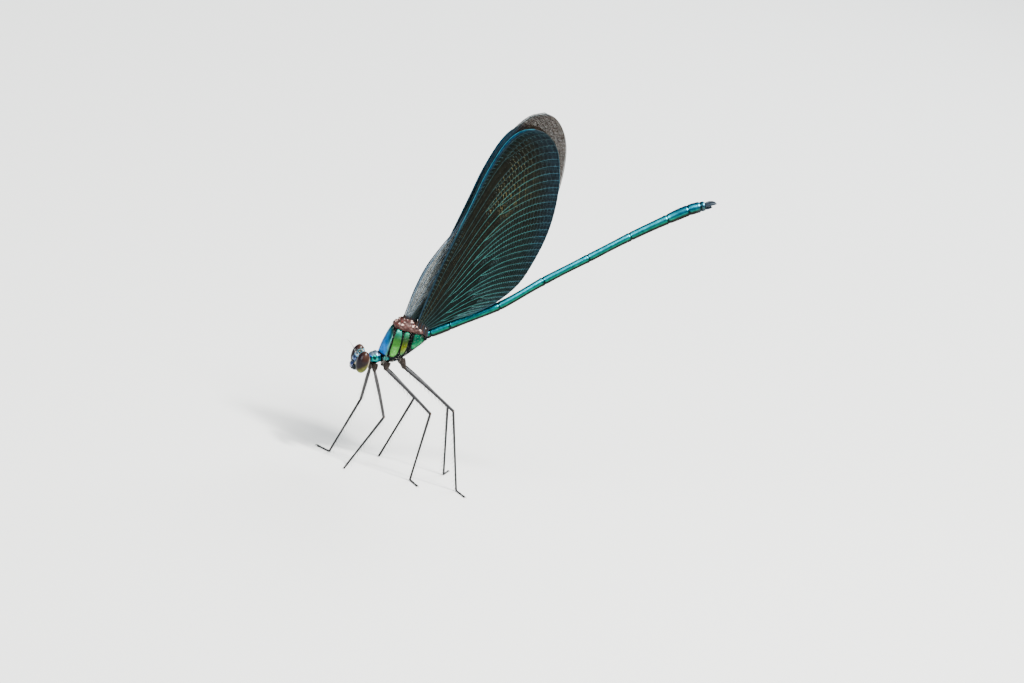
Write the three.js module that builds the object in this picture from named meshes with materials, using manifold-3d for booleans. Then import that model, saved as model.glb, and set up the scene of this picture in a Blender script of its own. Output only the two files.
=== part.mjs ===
// A male broad-winged damselfly standing on its six feet, life size, wings closed above the back
// Units are millimetres, +Z is up, the head looks along -X and the animal's left side is at -Y
import * as THREE from 'three';
import { mergeVertices } from 'three/addons/utils/BufferGeometryUtils.js';
import Module from 'manifold-3d';

const wasm = await Module();
wasm.setup();

// The gap that two neighbouring pieces keep
const GAP = 0.3;
// Half of the least thickness of a limb or a feeler
const THIN_RADIUS = 0.25;
// The rounded cross section of thorax and wing base, with its narrower upper half
const SECTION_HEIGHT_POWER = 0.85;
const SECTION_WIDTH_POWER = 0.8;
const SECTION_NARROWING = 0.16;
// How far the middle of an end face stands out
const END_DOME = 0.05;

// Thorax: its back line and belly line in side view, from the neck to the abdomen
const THORAX_BACK = [
  [-3.5, 18.35], [-3.05, 20.6], [-2.2, 23.05], [-0.9, 23.1], [0.55, 23.1], [1.7, 23.1], [2.45, 23.05],
];
const THORAX_BELLY = [
  [-2.8, 16.9], [-2.85, 16.75], [-2.6, 16.8], [-0.95, 17.2], [0.25, 18.2], [1.9, 20.1], [3.4, 21.75],
];
const THORAX_WIDEST = 1.95;
const THORAX_NECK_WIDTH = 0.8;
const THORAX_REAR_WIDTH = 0.85;
// The thorax swells early: its widest place comes before the middle
const THORAX_EARLY = 1.05;
const THORAX_SWELL_POWER = 0.6;
// Where the three dark sutures run over the side, as shares of the way from neck to abdomen
const SUTURES = [0.333, 0.5, 0.667];
const SUTURE_DEPTH = 0.1;
const SUTURE_HALF_WIDTH = 0.018;

// Wing base: the hump of small plates that carries the wings
const HUMP_CREST = [[-2.45, 23.1], [-1.25, 24.2], [0.5, 24.15], [2.0, 23.45], [2.6, 22.95]];
const HUMP_FOOT = [[-2.3, 22.6], [-1.2, 22.4], [0.5, 22.4], [1.8, 22.5], [2.4, 22.7]];
const HUMP_HALF_WIDTH = 1.62;
const HUMP_END_SHARE = 0.55;
const HUMP_SWELL_POWER = 0.5;

// Head and eyes
const HEAD_PROFILE = [
  [-5.95, 17.95], [-6.7, 17.65], [-7.0, 16.9], [-7.2, 16.2], [-7.15, 15.4],
  [-6.75, 14.75], [-6.0, 14.6], [-5.35, 15.2], [-5.1, 16.4], [-5.35, 17.5],
];
const HEAD_CENTRE = [-6.1, 16.5];
const HEAD_HALF_WIDTH = 2.1;
const EYE_CENTRE = new THREE.Vector3(-5.97, 1.85, 16.45);
const EYE_RADII = new THREE.Vector3(1.04, 0.98, 1.76);
const LABRUM_CENTRE = new THREE.Vector3(-7.12, 0, 15.3);
const LABRUM_RADII = new THREE.Vector3(0.42, 0.85, 0.5);
const ANTENNA_ROOT = new THREE.Vector3(-7.0, 0.62, 17.3);
const ANTENNA_REACH = new THREE.Vector3(-1.5, 1.0, 1.3);

// Prothorax: half height and half width at shares of the way from the head to the thorax
const PROTHORAX_START = new THREE.Vector3(-5.02, 0, 16.85);
const PROTHORAX_END = new THREE.Vector3(-3.15, 0, 17.45);
const PROTHORAX_RINGS = [
  [0, 0.42, 0.45], [0.16, 0.5, 0.52], [0.26, 0.75, 0.85], [0.38, 0.78, 0.92], [0.46, 0.72, 0.85],
  [0.62, 0.98, 1.12], [0.76, 0.9, 1.05], [0.86, 0.78, 0.92], [1, 0.7, 0.85],
];

// Abdomen: joints of its centre line in side view, with the radius at each joint
const ABDOMEN_JOINTS = [
  [2.91, 22.39, 0.72], [3.6, 22.84, 0.7], [6.27, 24.67, 0.71], [12.99, 29.35, 0.66], [18.76, 34.81, 0.64],
  [24.63, 39.93, 0.63], [30.1, 44.72, 0.65], [35.04, 48.7, 0.74], [37.83, 50.8, 0.82],
  [39.52, 51.77, 0.76], [40.27, 52.12, 0.64],
];
// How much a length swells or narrows between its joints
const ABDOMEN_WAIST = [0.02, 0.06, -0.07, -0.06, -0.05, -0.04, -0.02, 0.05, 0.05, 0.02];
const CERCUS = [[0, 0.42, 0.1], [0.7, 0.62, 0.2], [1.3, 0.55, 0.16], [1.74, 0.34, 0.05]];
const CERCUS_RADII = [0.24, 0.27, 0.25, 0.12];
const PARAPROCT = [[0, 0.3, -0.36], [0.55, 0.32, -0.42], [1.0, 0.28, -0.4]];
const PARAPROCT_RADII = [0.22, 0.22, 0.1];
// How much narrower a length of the abdomen is right at its ends
const ABDOMEN_END_PINCH = 0.03;

// Legs: coxa top, hip, knee, ankle and toe of each, with the far side at +Y
const LEGS = {
  front_left: { coxa: [-3.6, -0.5, 16.3], hip: [-3.5, -0.8, 15.35], knee: [-0.4, -2.6, 8.8],
    ankle: [-3.8, -2.35], toe: [-4.8, -4.7] },
  front_right: { coxa: [-3.6, 0.5, 16.3], hip: [-3.8, 0.8, 15.2], knee: [-3.1, 2.9, 9.4],
    ankle: [-5.6, 2.7], toe: [-7.2, 4.7] },
  middle_left: { coxa: [-1.75, -0.75, 17.0], hip: [-1.95, -1.1, 16.05], knee: [6.1, -4.2, 11.35],
    ankle: [6.3, -3.4], toe: [6.9, -6.1] },
  middle_right: { coxa: [-1.75, 0.75, 17.0], hip: [-1.95, 1.1, 16.05], knee: [5.55, 4.3, 11.0],
    ankle: [3.45, 6.3], toe: [4.4, 8.8] },
  hind_left: { coxa: [0.2, -0.85, 18.1], hip: [0.75, -1.25, 16.95], knee: [9.6, -4.0, 12.5],
    ankle: [13.8, -3.9], toe: [14.6, -6.6] },
  hind_right: { coxa: [0.2, 0.85, 18.1], hip: [0.75, 1.25, 16.95], knee: [10.8, 3.2, 11.1],
    ankle: [13.5, 3.6], toe: [14.9, 6.1] },
};
const COXA_RADIUS = 0.52;
const COXA_MIDDLE_SHARE = 0.6;
const COXA_MIDDLE_RADIUS = 0.48;
const HIP_RADIUS = 0.36;
const FEMUR_RADIUS = 0.29;
const KNEE_RADIUS = 0.31;
const SHIN_RADIUS = 0.26;
const FOOT_TOP = 0.46;
const FOOT_AXIS_HEIGHT = 0.2;
const LEG_SIDES = 8;
// Bristles of femur and tibia: count, length, radius at the root, and lean towards the foot
const BRISTLES = {
  femur: { count: 5, length: 1.15, root: 0.2, lean: 0.75 },
  tibia: { count: 6, length: 1.25, root: 0.18, lean: 0.8 },
};
const BRISTLE_SUNK = 0.12;
const BRISTLE_TIP_RADIUS = 0.03;
const BRISTLE_SEED = 7;
// The stretch of a limb that carries bristles, as shares of its length, and how far they turn outwards
const BRISTLE_FIRST = 0.14;
const BRISTLE_SPAN = 0.74;
const BRISTLE_TURN = 0.7;

// Wings: outlines in side view, root first; the leading edge ends at the tip
const HIND_WING = {
  lead: [[0.75, 24.45], [1.3, 29.8], [1.85, 34.2], [2.8, 39.7], [3.8, 45.8], [4.3, 49.0], [5.1, 52.3],
    [5.85, 54.6], [6.9, 56.5], [8.22, 57.65], [9.74, 58.15]],
  margin: [[9.74, 58.15], [11.5, 57.95], [13.2, 56.95], [14.4, 55.5], [15.5, 52.9], [16.35, 49.6],
    [16.75, 45.6], [16.6, 41.8], [15.85, 37.8], [14.8, 34.3], [13.4, 31.9], [11.5, 29.7], [8.8, 27.5]],
  rear: [[2.75, 23.6], [5.9, 25.8], [8.8, 27.5]],
};
const FORE_WING = {
  lead: [[-1.1, 24.56], [-0.69, 29.3], [0.07, 33.05], [1.4, 36.5], [2.85, 39.8], [3.55, 42.6], [4.1, 46.0],
    [4.65, 50.2], [5.7, 54.3], [7.4, 57.7], [9.0, 59.7], [11.05, 60.7]],
  margin: [[11.05, 60.7], [13.1, 60.15], [14.75, 58.45], [15.8, 56.3], [16.35, 54.0], [16.65, 51.2],
    [16.65, 47.6], [16.1, 42.5], [14.6, 37.0], [12.2, 32.6], [9.5, 29.5], [6.6, 27.3]],
  rear: [[0.6, 24.4], [3.4, 25.9], [6.6, 27.3]],
};
const WING_THICKNESS = 0.46;
const VEIN_RELIEF = 0.09;
const VEIN_HALF_WIDTH = 0.2;
// A vein's foot reaches at most this share of the way to the next vein
const VEIN_FOOT_SHARE = 0.3;
// Pitch of the four wings that stand side by side
const WING_PITCH = 0.94;
const WING_STATIONS = 11;
// Main veins, as shares of the fan from the leading edge to the rear edge
const MAIN_VEINS = [0, 0.05, 0.11, 0.18, 0.27, 0.38, 0.5, 0.62, 0.74, 0.87, 1];
// Directions of the veins in side view, at the root and at the margin
const VEIN_ROOT_LEAD = [0.1, 1];
const VEIN_ROOT_REAR = [0.8, 0.6];
const VEIN_AT_MARGIN = [1, 0.16];
// Shares of a vein's length over which it leaves the root and nears the margin in those directions
const VEIN_ROOT_SHARE = 0.4;
const VEIN_MARGIN_SHARE = 0.4;
// How quickly the pull of the leading and rear edges on the veins fades across the fan
const EDGE_PULL = 4;

const COLOURS = {
  eye: '#3d2a22', head: '#2a5c78', labrum: '#1a2a55', thorax: '#3d8f78', hump: '#8a5a55',
  abdomen: '#0e8f92', leg: '#2b2a2c', coxa: '#4a3b33', hind_wing: '#12242a', fore_wing: '#2a3d44',
  feeler: '#1c1a1a', appendage: '#16181c',
};
const ROUGHNESS = { eye: 0.15, leg: 0.5, hind_wing: 0.35, fore_wing: 0.3 };
const METALNESS = { thorax: 0.6, abdomen: 0.6, head: 0.5 };

const model = new THREE.Group();

// Gives a node its name, shape and finish
function addNode(name, geometry, finish) {
  const material = new THREE.MeshStandardMaterial({
    color: COLOURS[finish],
    roughness: ROUGHNESS[finish] ?? 0.4,
    metalness: METALNESS[finish] ?? 0.1,
  });
  const mesh = new THREE.Mesh(geometry, material);
  mesh.name = name;
  model.add(mesh);
}

// A geometry from points and triangles
function geometryOf(points, triangles) {
  const geometry = new THREE.BufferGeometry();
  const flat = points.flatMap((p) => [p.x, p.y, p.z]);
  geometry.setAttribute('position', new THREE.Float32BufferAttribute(flat, 3));
  geometry.setIndex(triangles);
  return geometry;
}

// A closed skin over rings of equal count between two poles
function loft(startPole, rings, endPole) {
  const count = rings[0].length;
  const points = [startPole, ...rings.flat(), endPole];
  const last = points.length - 1;
  const triangles = [];
  for (let i = 0; i < count; i += 1) {
    const next = (i + 1) % count;
    triangles.push(0, 1 + next, 1 + i);
    for (let r = 0; r < rings.length - 1; r += 1) {
      const a = 1 + r * count;
      const b = a + count;
      triangles.push(a + i, a + next, b + next, a + i, b + next, b + i);
    }
    const end = 1 + (rings.length - 1) * count;
    triangles.push(last, end + i, end + next);
  }
  if (volumeOf(points, triangles) < 0) triangles.reverse();
  return geometryOf(points, triangles);
}

// The signed volume within a closed skin, which is negative where its faces point inwards
function volumeOf(points, triangles) {
  let volume = 0;
  for (let t = 0; t < triangles.length; t += 3) {
    const [a, b, c] = [points[triangles[t]], points[triangles[t + 1]], points[triangles[t + 2]]];
    volume += a.dot(b.clone().cross(c)) / 6;
  }
  return volume;
}

// The same shape as a solid that can be joined and cut
function solidOf(geometry) {
  const bare = geometry.clone();
  bare.deleteAttribute('normal');
  bare.deleteAttribute('uv');
  const merged = mergeVertices(bare, 1e-5);
  return new wasm.Manifold(new wasm.Mesh({
    numProp: 3,
    vertProperties: new Float32Array(merged.attributes.position.array),
    triVerts: new Uint32Array(merged.index.array),
  }));
}

// The largest closed surface of a solid, as a geometry
function largestOf(solid) {
  const pieces = solid.decompose();
  const size = (piece) => Math.abs(piece.volume());
  const largest = pieces.reduce((best, piece) => (size(piece) > size(best) ? piece : best));
  const mesh = largest.getMesh();
  const geometry = new THREE.BufferGeometry();
  geometry.setAttribute('position', new THREE.Float32BufferAttribute(mesh.vertProperties, 3));
  geometry.setIndex(Array.from(mesh.triVerts));
  return geometry;
}

// A geometry with its neighbours' grown shapes taken away
function clearOf(geometry, neighbours) {
  const cut = neighbours.reduce((solid, other) => solid.subtract(solidOf(other)), solidOf(geometry));
  return largestOf(cut);
}

// A geometry fused with pieces that are rooted in it
function fused(geometry, pieces) {
  return largestOf(pieces.reduce((solid, piece) => solid.add(solidOf(piece)), solidOf(geometry)));
}

const sidePoint = ([x, z], y = 0) => new THREE.Vector3(x, y, z);
const sideCurve = (points) => new THREE.CatmullRomCurve3(points.map((p) => sidePoint(p)), false, 'centripetal');
const signedPower = (value, power) => Math.sign(value) * Math.abs(value) ** power;
const mirrored = (v, side) => new THREE.Vector3(v.x, v.y * side, v.z);

// An ellipsoid, grown by a margin
function ellipsoid(centre, radii, around, along, grow = 0) {
  const geometry = new THREE.SphereGeometry(1, around, along);
  geometry.rotateX(Math.PI / 2);
  geometry.scale(radii.x + grow, radii.y + grow, radii.z + grow);
  geometry.translate(centre.x, centre.y, centre.z);
  geometry.deleteAttribute('normal');
  geometry.deleteAttribute('uv');
  return mergeVertices(geometry, 1e-5);
}

// A round tube along points, with a radius at each and a short dome at both ends
function tube(points, radii, sides, dome = 0.35) {
  const rings = [];
  const directions = points.map((p, i) => {
    const before = points[Math.max(i - 1, 0)];
    const after = points[Math.min(i + 1, points.length - 1)];
    return after.clone().sub(before).normalize();
  });
  let across = new THREE.Vector3(0, 1, 0);
  if (Math.abs(directions[0].y) > 0.9) across = new THREE.Vector3(1, 0, 0);
  points.forEach((p, i) => {
    const forward = directions[i];
    across = across.clone().addScaledVector(forward, -across.dot(forward)).normalize();
    const up = forward.clone().cross(across);
    const ring = [];
    for (let s = 0; s < sides; s += 1) {
      const angle = ((s + 0.5) / sides) * 2 * Math.PI;
      ring.push(p.clone()
        .addScaledVector(across, Math.cos(angle) * radii[i])
        .addScaledVector(up, Math.sin(angle) * radii[i]));
    }
    rings.push(ring);
  });
  const end = points.length - 1;
  const startPole = points[0].clone().addScaledVector(directions[0], -dome * radii[0]);
  const endPole = points[end].clone().addScaledVector(directions[end], dome * radii[end]);
  return loft(startPole, rings, endPole);
}

// A skin between a back line and a belly line in side view, with a half width along the way
function keeledSkin(back, belly, widthAt, sides, shares, grow = 0) {
  const backCurve = sideCurve(back);
  const bellyCurve = sideCurve(belly);
  const rings = shares.map((share) => {
    const top = backCurve.getPoint(share);
    const foot = bellyCurve.getPoint(share);
    const middle = top.clone().add(foot).multiplyScalar(0.5);
    const half = top.clone().sub(foot).multiplyScalar(0.5);
    const reach = half.length() + grow;
    const rise = half.normalize();
    const ring = [];
    for (let s = 0; s < sides; s += 1) {
      const angle = ((s + 0.5) / sides) * 2 * Math.PI;
      const height = signedPower(Math.sin(angle), SECTION_HEIGHT_POWER);
      const width = (widthAt(share) + grow) * (1 - SECTION_NARROWING * height);
      ring.push(middle.clone().addScaledVector(rise, height * reach)
        .add(new THREE.Vector3(0, width * signedPower(Math.cos(angle), SECTION_WIDTH_POWER), 0)));
    }
    return ring;
  });
  const middleAt = (share) => backCurve.getPoint(share).add(bellyCurve.getPoint(share)).multiplyScalar(0.5);
  const first = middleAt(shares[0]);
  const last = middleAt(shares[shares.length - 1]);
  const alongStart = middleAt(shares[1]).sub(first).normalize();
  const alongEnd = last.clone().sub(middleAt(shares[shares.length - 2])).normalize();
  rings[0].forEach((p) => p.addScaledVector(alongStart, -grow));
  rings[rings.length - 1].forEach((p) => p.addScaledVector(alongEnd, grow));
  first.addScaledVector(alongStart, -grow - END_DOME);
  last.addScaledVector(alongEnd, grow + END_DOME);
  return loft(first, rings, last);
}

// Half width of the thorax, with the sutures pressed in
function thoraxWidth(share) {
  const swell = Math.sin(Math.PI * Math.min(share * THORAX_EARLY, 1)) ** THORAX_SWELL_POWER;
  const ends = THREE.MathUtils.lerp(THORAX_NECK_WIDTH, THORAX_REAR_WIDTH, share);
  const pressed = SUTURES.some((s) => Math.abs(s - share) < 1e-6) ? SUTURE_DEPTH : 0;
  return ends + (THORAX_WIDEST - ends) * swell - pressed;
}

function thoraxSkin(grow) {
  const plain = [0, 0.05, 0.12, 0.2, 0.27, 0.42, 0.58, 0.75, 0.84, 0.92, 1];
  const sutures = SUTURES.flatMap((s) => [s - SUTURE_HALF_WIDTH, s, s + SUTURE_HALF_WIDTH]);
  const shares = [...plain, ...sutures].sort((a, b) => a - b);
  return keeledSkin(THORAX_BACK, THORAX_BELLY, thoraxWidth, 20, shares, grow);
}

function humpSkin(grow) {
  const swell = (share) => (1 - HUMP_END_SHARE) * Math.sin(Math.PI * share) ** HUMP_SWELL_POWER;
  const width = (share) => HUMP_HALF_WIDTH * (HUMP_END_SHARE + swell(share));
  const shares = [0, 0.06, 0.15, 0.25, 0.35, 0.45, 0.55, 0.65, 0.75, 0.85, 0.94, 1];
  return keeledSkin(HUMP_CREST, HUMP_FOOT, width, 16, shares, grow);
}

// Head: its side profile drawn in towards both cheeks
function headSkin(grow) {
  const profile = new THREE.CatmullRomCurve3(HEAD_PROFILE.map((p) => sidePoint(p)), true, 'centripetal');
  const centre = sidePoint(HEAD_CENTRE);
  const around = 22;
  const across = [-0.96, -0.84, -0.66, -0.44, -0.22, 0, 0.22, 0.44, 0.66, 0.84, 0.96];
  const rings = across.map((share) => {
    const shrink = Math.sqrt(1 - Math.abs(share) ** 3);
    const ring = [];
    for (let s = 0; s < around; s += 1) {
      const out = profile.getPoint(s / around).sub(centre);
      const reach = out.length() * shrink + grow;
      ring.push(centre.clone().addScaledVector(out.normalize(), reach)
        .add(new THREE.Vector3(0, share * (HEAD_HALF_WIDTH + grow), 0)));
    }
    return ring;
  });
  const side = HEAD_HALF_WIDTH + grow;
  return loft(centre.clone().setY(-side), rings, centre.clone().setY(side));
}

function prothoraxSkin(grow) {
  const along = PROTHORAX_END.clone().sub(PROTHORAX_START);
  const forward = along.clone().normalize();
  const up = new THREE.Vector3(-forward.z, 0, forward.x);
  const sides = 16;
  const rings = PROTHORAX_RINGS.map(([share, height, width]) => {
    const middle = PROTHORAX_START.clone().addScaledVector(along, share);
    const ring = [];
    for (let s = 0; s < sides; s += 1) {
      const angle = -((s + 0.5) / sides) * 2 * Math.PI;
      ring.push(middle.clone().addScaledVector(up, Math.sin(angle) * (height + grow))
        .add(new THREE.Vector3(0, Math.cos(angle) * (width + grow), 0)));
    }
    return ring;
  });
  return loft(
    PROTHORAX_START.clone().addScaledVector(forward, -END_DOME - grow),
    rings,
    PROTHORAX_END.clone().addScaledVector(forward, END_DOME + grow),
  );
}

// Thorax, wing base and the short collar behind the head
addNode('pterothorax', thoraxSkin(0), 'thorax');
addNode('wing_base', clearOf(humpSkin(0), [thoraxSkin(GAP)]), 'hump');
addNode('prothorax', clearOf(prothoraxSkin(0), [thoraxSkin(GAP)]), 'thorax');

// Head with its two eyes, upper lip and two feelers
const SIDES = { left: -1, right: 1 };
const eye = (side, grow) => ellipsoid(mirrored(EYE_CENTRE, side), EYE_RADII, 18, 13, grow);
const labrum = (grow) => ellipsoid(LABRUM_CENTRE, LABRUM_RADII, 12, 8, grow);
const headNeighbours = [eye(-1, GAP), eye(1, GAP), labrum(GAP), prothoraxSkin(GAP)];
addNode('head', clearOf(headSkin(0), headNeighbours), 'head');
addNode('labrum', labrum(0), 'labrum');
Object.entries(SIDES).forEach(([sideName, side]) => {
  addNode(`eye_${sideName}`, eye(side, 0), 'eye');
  const root = mirrored(ANTENNA_ROOT, side);
  const reach = mirrored(ANTENNA_REACH, side);
  const steps = [0, 0.2, 0.24, 0.6, 1];
  const feeler = tube(
    steps.map((s) => root.clone().addScaledVector(reach, s)),
    [0.3, 0.28, THIN_RADIUS, 0.18, 0.06],
    LEG_SIDES,
  );
  addNode(`antenna_${sideName}`, clearOf(feeler, [headSkin(GAP)]), 'feeler');
});

// Abdomen in ten lengths along one curve
const abdomenLine = sideCurve(ABDOMEN_JOINTS);
const jointCount = ABDOMEN_JOINTS.length - 1;
for (let i = 0; i < jointCount; i += 1) {
  const start = abdomenLine.getPoint(i / jointCount);
  const end = abdomenLine.getPoint((i + 1) / jointCount);
  const length = start.distanceTo(end);
  const margin = GAP / 2 / length;
  const first = i === 0 ? 2 * margin : margin;
  const cuffs = length > 3 ? [0.06, 0.94] : [];
  const middles = length > 5 ? [0.25, 0.5, 0.75] : [0.5];
  const shares = [first, ...cuffs, ...middles, 1 - margin].sort((a, b) => a - b);
  const points = shares.map((s) => abdomenLine.getPoint((i + s) / jointCount));
  const radii = shares.map((s) => {
    const joint = THREE.MathUtils.lerp(ABDOMEN_JOINTS[i][2], ABDOMEN_JOINTS[i + 1][2], s);
    const collar = s === first || s === 1 - margin ? -ABDOMEN_END_PINCH : 0;
    return joint + ABDOMEN_WAIST[i] * Math.sin(Math.PI * s) + collar;
  });
  addNode(`abdomen_${i + 1}`, tube(points, radii, 14, 0.04), 'abdomen');
}

// The claspers behind the last length
const tail = abdomenLine.getPoint(1);
const tailForward = abdomenLine.getTangent(1);
const tailUp = new THREE.Vector3(-tailForward.z, 0, tailForward.x);
const tailPoint = ([along, across, up], side) => tail.clone()
  .addScaledVector(tailForward, along + GAP / 2)
  .addScaledVector(tailUp, up)
  .add(new THREE.Vector3(0, across * side, 0));
Object.entries(SIDES).forEach(([sideName, side]) => {
  const points = CERCUS.map((p) => tailPoint(p, side));
  addNode(`cercus_${sideName}`, tube(points, CERCUS_RADII, LEG_SIDES), 'appendage');
  const lower = PARAPROCT.map((p) => tailPoint(p, side));
  addNode(`paraproct_${sideName}`, tube(lower, PARAPROCT_RADII, LEG_SIDES), 'appendage');
});

// A wing's point in side view: reach runs from root to margin, fan from leading to rear edge
function wingSurface(outline) {
  const lead = sideCurve(outline.lead);
  const margin = sideCurve(outline.margin);
  const rear = sideCurve(outline.rear);
  const direction = ([x, z]) => sidePoint([x, z]).normalize();
  const plainVein = (fan) => {
    const root = lead.getPoint(0).lerp(rear.getPoint(0), fan);
    const end = margin.getPointAt(fan);
    const length = root.distanceTo(end);
    const rise = direction(VEIN_ROOT_LEAD).lerp(direction(VEIN_ROOT_REAR), fan);
    return new THREE.CubicBezierCurve3(
      root,
      root.clone().addScaledVector(rise, length * VEIN_ROOT_SHARE),
      end.clone().addScaledVector(direction(VEIN_AT_MARGIN), -length * VEIN_MARGIN_SHARE),
      end,
    );
  };
  const firstVein = plainVein(0);
  const lastVein = plainVein(1);
  return (reach, fan) => {
    const toLead = lead.getPointAt(reach).sub(firstVein.getPoint(reach));
    const toRear = rear.getPointAt(reach).sub(lastVein.getPoint(reach));
    return plainVein(fan).getPoint(reach)
      .addScaledVector(toLead, (1 - fan) ** EDGE_PULL)
      .addScaledVector(toRear, fan ** EDGE_PULL);
  };
}

// One station across a wing: each vein's crest, with a foot on the membrane on either side of it
function veinStation(surface, reach, level) {
  const crests = MAIN_VEINS.map((fan) => surface(reach, fan));
  const points = [];
  crests.forEach((crest, i) => {
    const footTowards = (other) => {
      const away = other.clone().sub(crest);
      const foot = Math.min(VEIN_HALF_WIDTH, away.length() * VEIN_FOOT_SHARE);
      return { point: crest.clone().add(away.setLength(foot)), half: WING_THICKNESS / 2 };
    };
    if (i > 0) points.push(footTowards(crests[i - 1]));
    points.push({ point: crest, half: WING_THICKNESS / 2 + VEIN_RELIEF });
    if (i < crests.length - 1) points.push(footTowards(crests[i + 1]));
  });
  const face = (side) => points.map(({ point, half }) => point.clone().setY(level + side * half));
  return { near: face(-1), far: face(1) };
}

// Two faces with the same triangles, the veins raised in both, closed along the rim
function wingSheet(outline, level) {
  const surface = wingSurface(outline);
  const faces = { near: [], far: [] };
  for (let row = 0; row <= WING_STATIONS; row += 1) {
    const station = veinStation(surface, row / WING_STATIONS, level);
    faces.near.push(...station.near);
    faces.far.push(...station.far);
  }
  return closedSheet(faces, 3 * MAIN_VEINS.length - 2, WING_STATIONS + 1);
}

// Joins the two faces of a sheet, each a grid of rows and columns, along its rim
function closedSheet(faces, columns, rows) {
  const count = columns * rows;
  const triangles = [];
  const at = (row, column) => row * columns + column;
  for (let row = 0; row < rows - 1; row += 1) {
    for (let column = 0; column < columns - 1; column += 1) {
      const [a, b, c, d] = [at(row, column), at(row, column + 1), at(row + 1, column + 1), at(row + 1, column)];
      triangles.push(a, b, c, a, c, d);
      triangles.push(count + a, count + c, count + b, count + a, count + d, count + c);
    }
  }
  const rim = [];
  for (let column = 0; column < columns - 1; column += 1) rim.push(at(0, column));
  for (let row = 0; row < rows - 1; row += 1) rim.push(at(row, columns - 1));
  for (let column = columns - 1; column > 0; column -= 1) rim.push(at(rows - 1, column));
  for (let row = rows - 1; row > 0; row -= 1) rim.push(at(row, 0));
  rim.forEach((a, i) => {
    const b = rim[(i + 1) % rim.length];
    triangles.push(a, count + a, count + b, a, count + b, b);
  });
  return geometryOf([...faces.near, ...faces.far], triangles);
}

// The hind wings are outside and the fore wings between them
const WING_LEVELS = {
  hind_wing_left: [HIND_WING, -1.5], fore_wing_left: [FORE_WING, -0.5],
  fore_wing_right: [FORE_WING, 0.5], hind_wing_right: [HIND_WING, 1.5],
};
Object.entries(WING_LEVELS).forEach(([name, [outline, level]]) => {
  const finish = name.startsWith('hind') ? 'hind_wing' : 'fore_wing';
  addNode(name, wingSheet(outline, level * WING_PITCH), finish);
});

// A repeatable draw between 0 and 1
let draw = BRISTLE_SEED;
function nextDraw() {
  draw = (draw * 16807) % 2147483647;
  return draw / 2147483647;
}

// Tapered bristles in two rows along a stretch of leg, turned to its lower and outer side
function bristlesOn(start, end, outward, { count, length, root, lean }) {
  const along = end.clone().sub(start).normalize();
  const down = new THREE.Vector3(0, 0, -1);
  const below = down.addScaledVector(along, -down.dot(along)).normalize();
  const aside = new THREE.Vector3(0, outward, 0);
  aside.addScaledVector(along, -aside.dot(along)).normalize();
  const bristles = [];
  for (let i = 0; i < count; i += 1) {
    const share = BRISTLE_FIRST + (BRISTLE_SPAN * (i + 0.3 * nextDraw())) / (count - 1);
    const row = i % 2 === 0 ? 1 : -1;
    const side = below.clone().addScaledVector(aside, BRISTLE_TURN * row).normalize();
    const base = start.clone().lerp(end, share).addScaledVector(side, BRISTLE_SUNK);
    const reach = side.addScaledVector(along, lean).setLength(length * (0.8 + 0.4 * nextDraw()));
    bristles.push(tube([base, base.clone().add(reach)], [root, BRISTLE_TIP_RADIUS], 4, 0.1));
  }
  return bristles;
}

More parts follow.
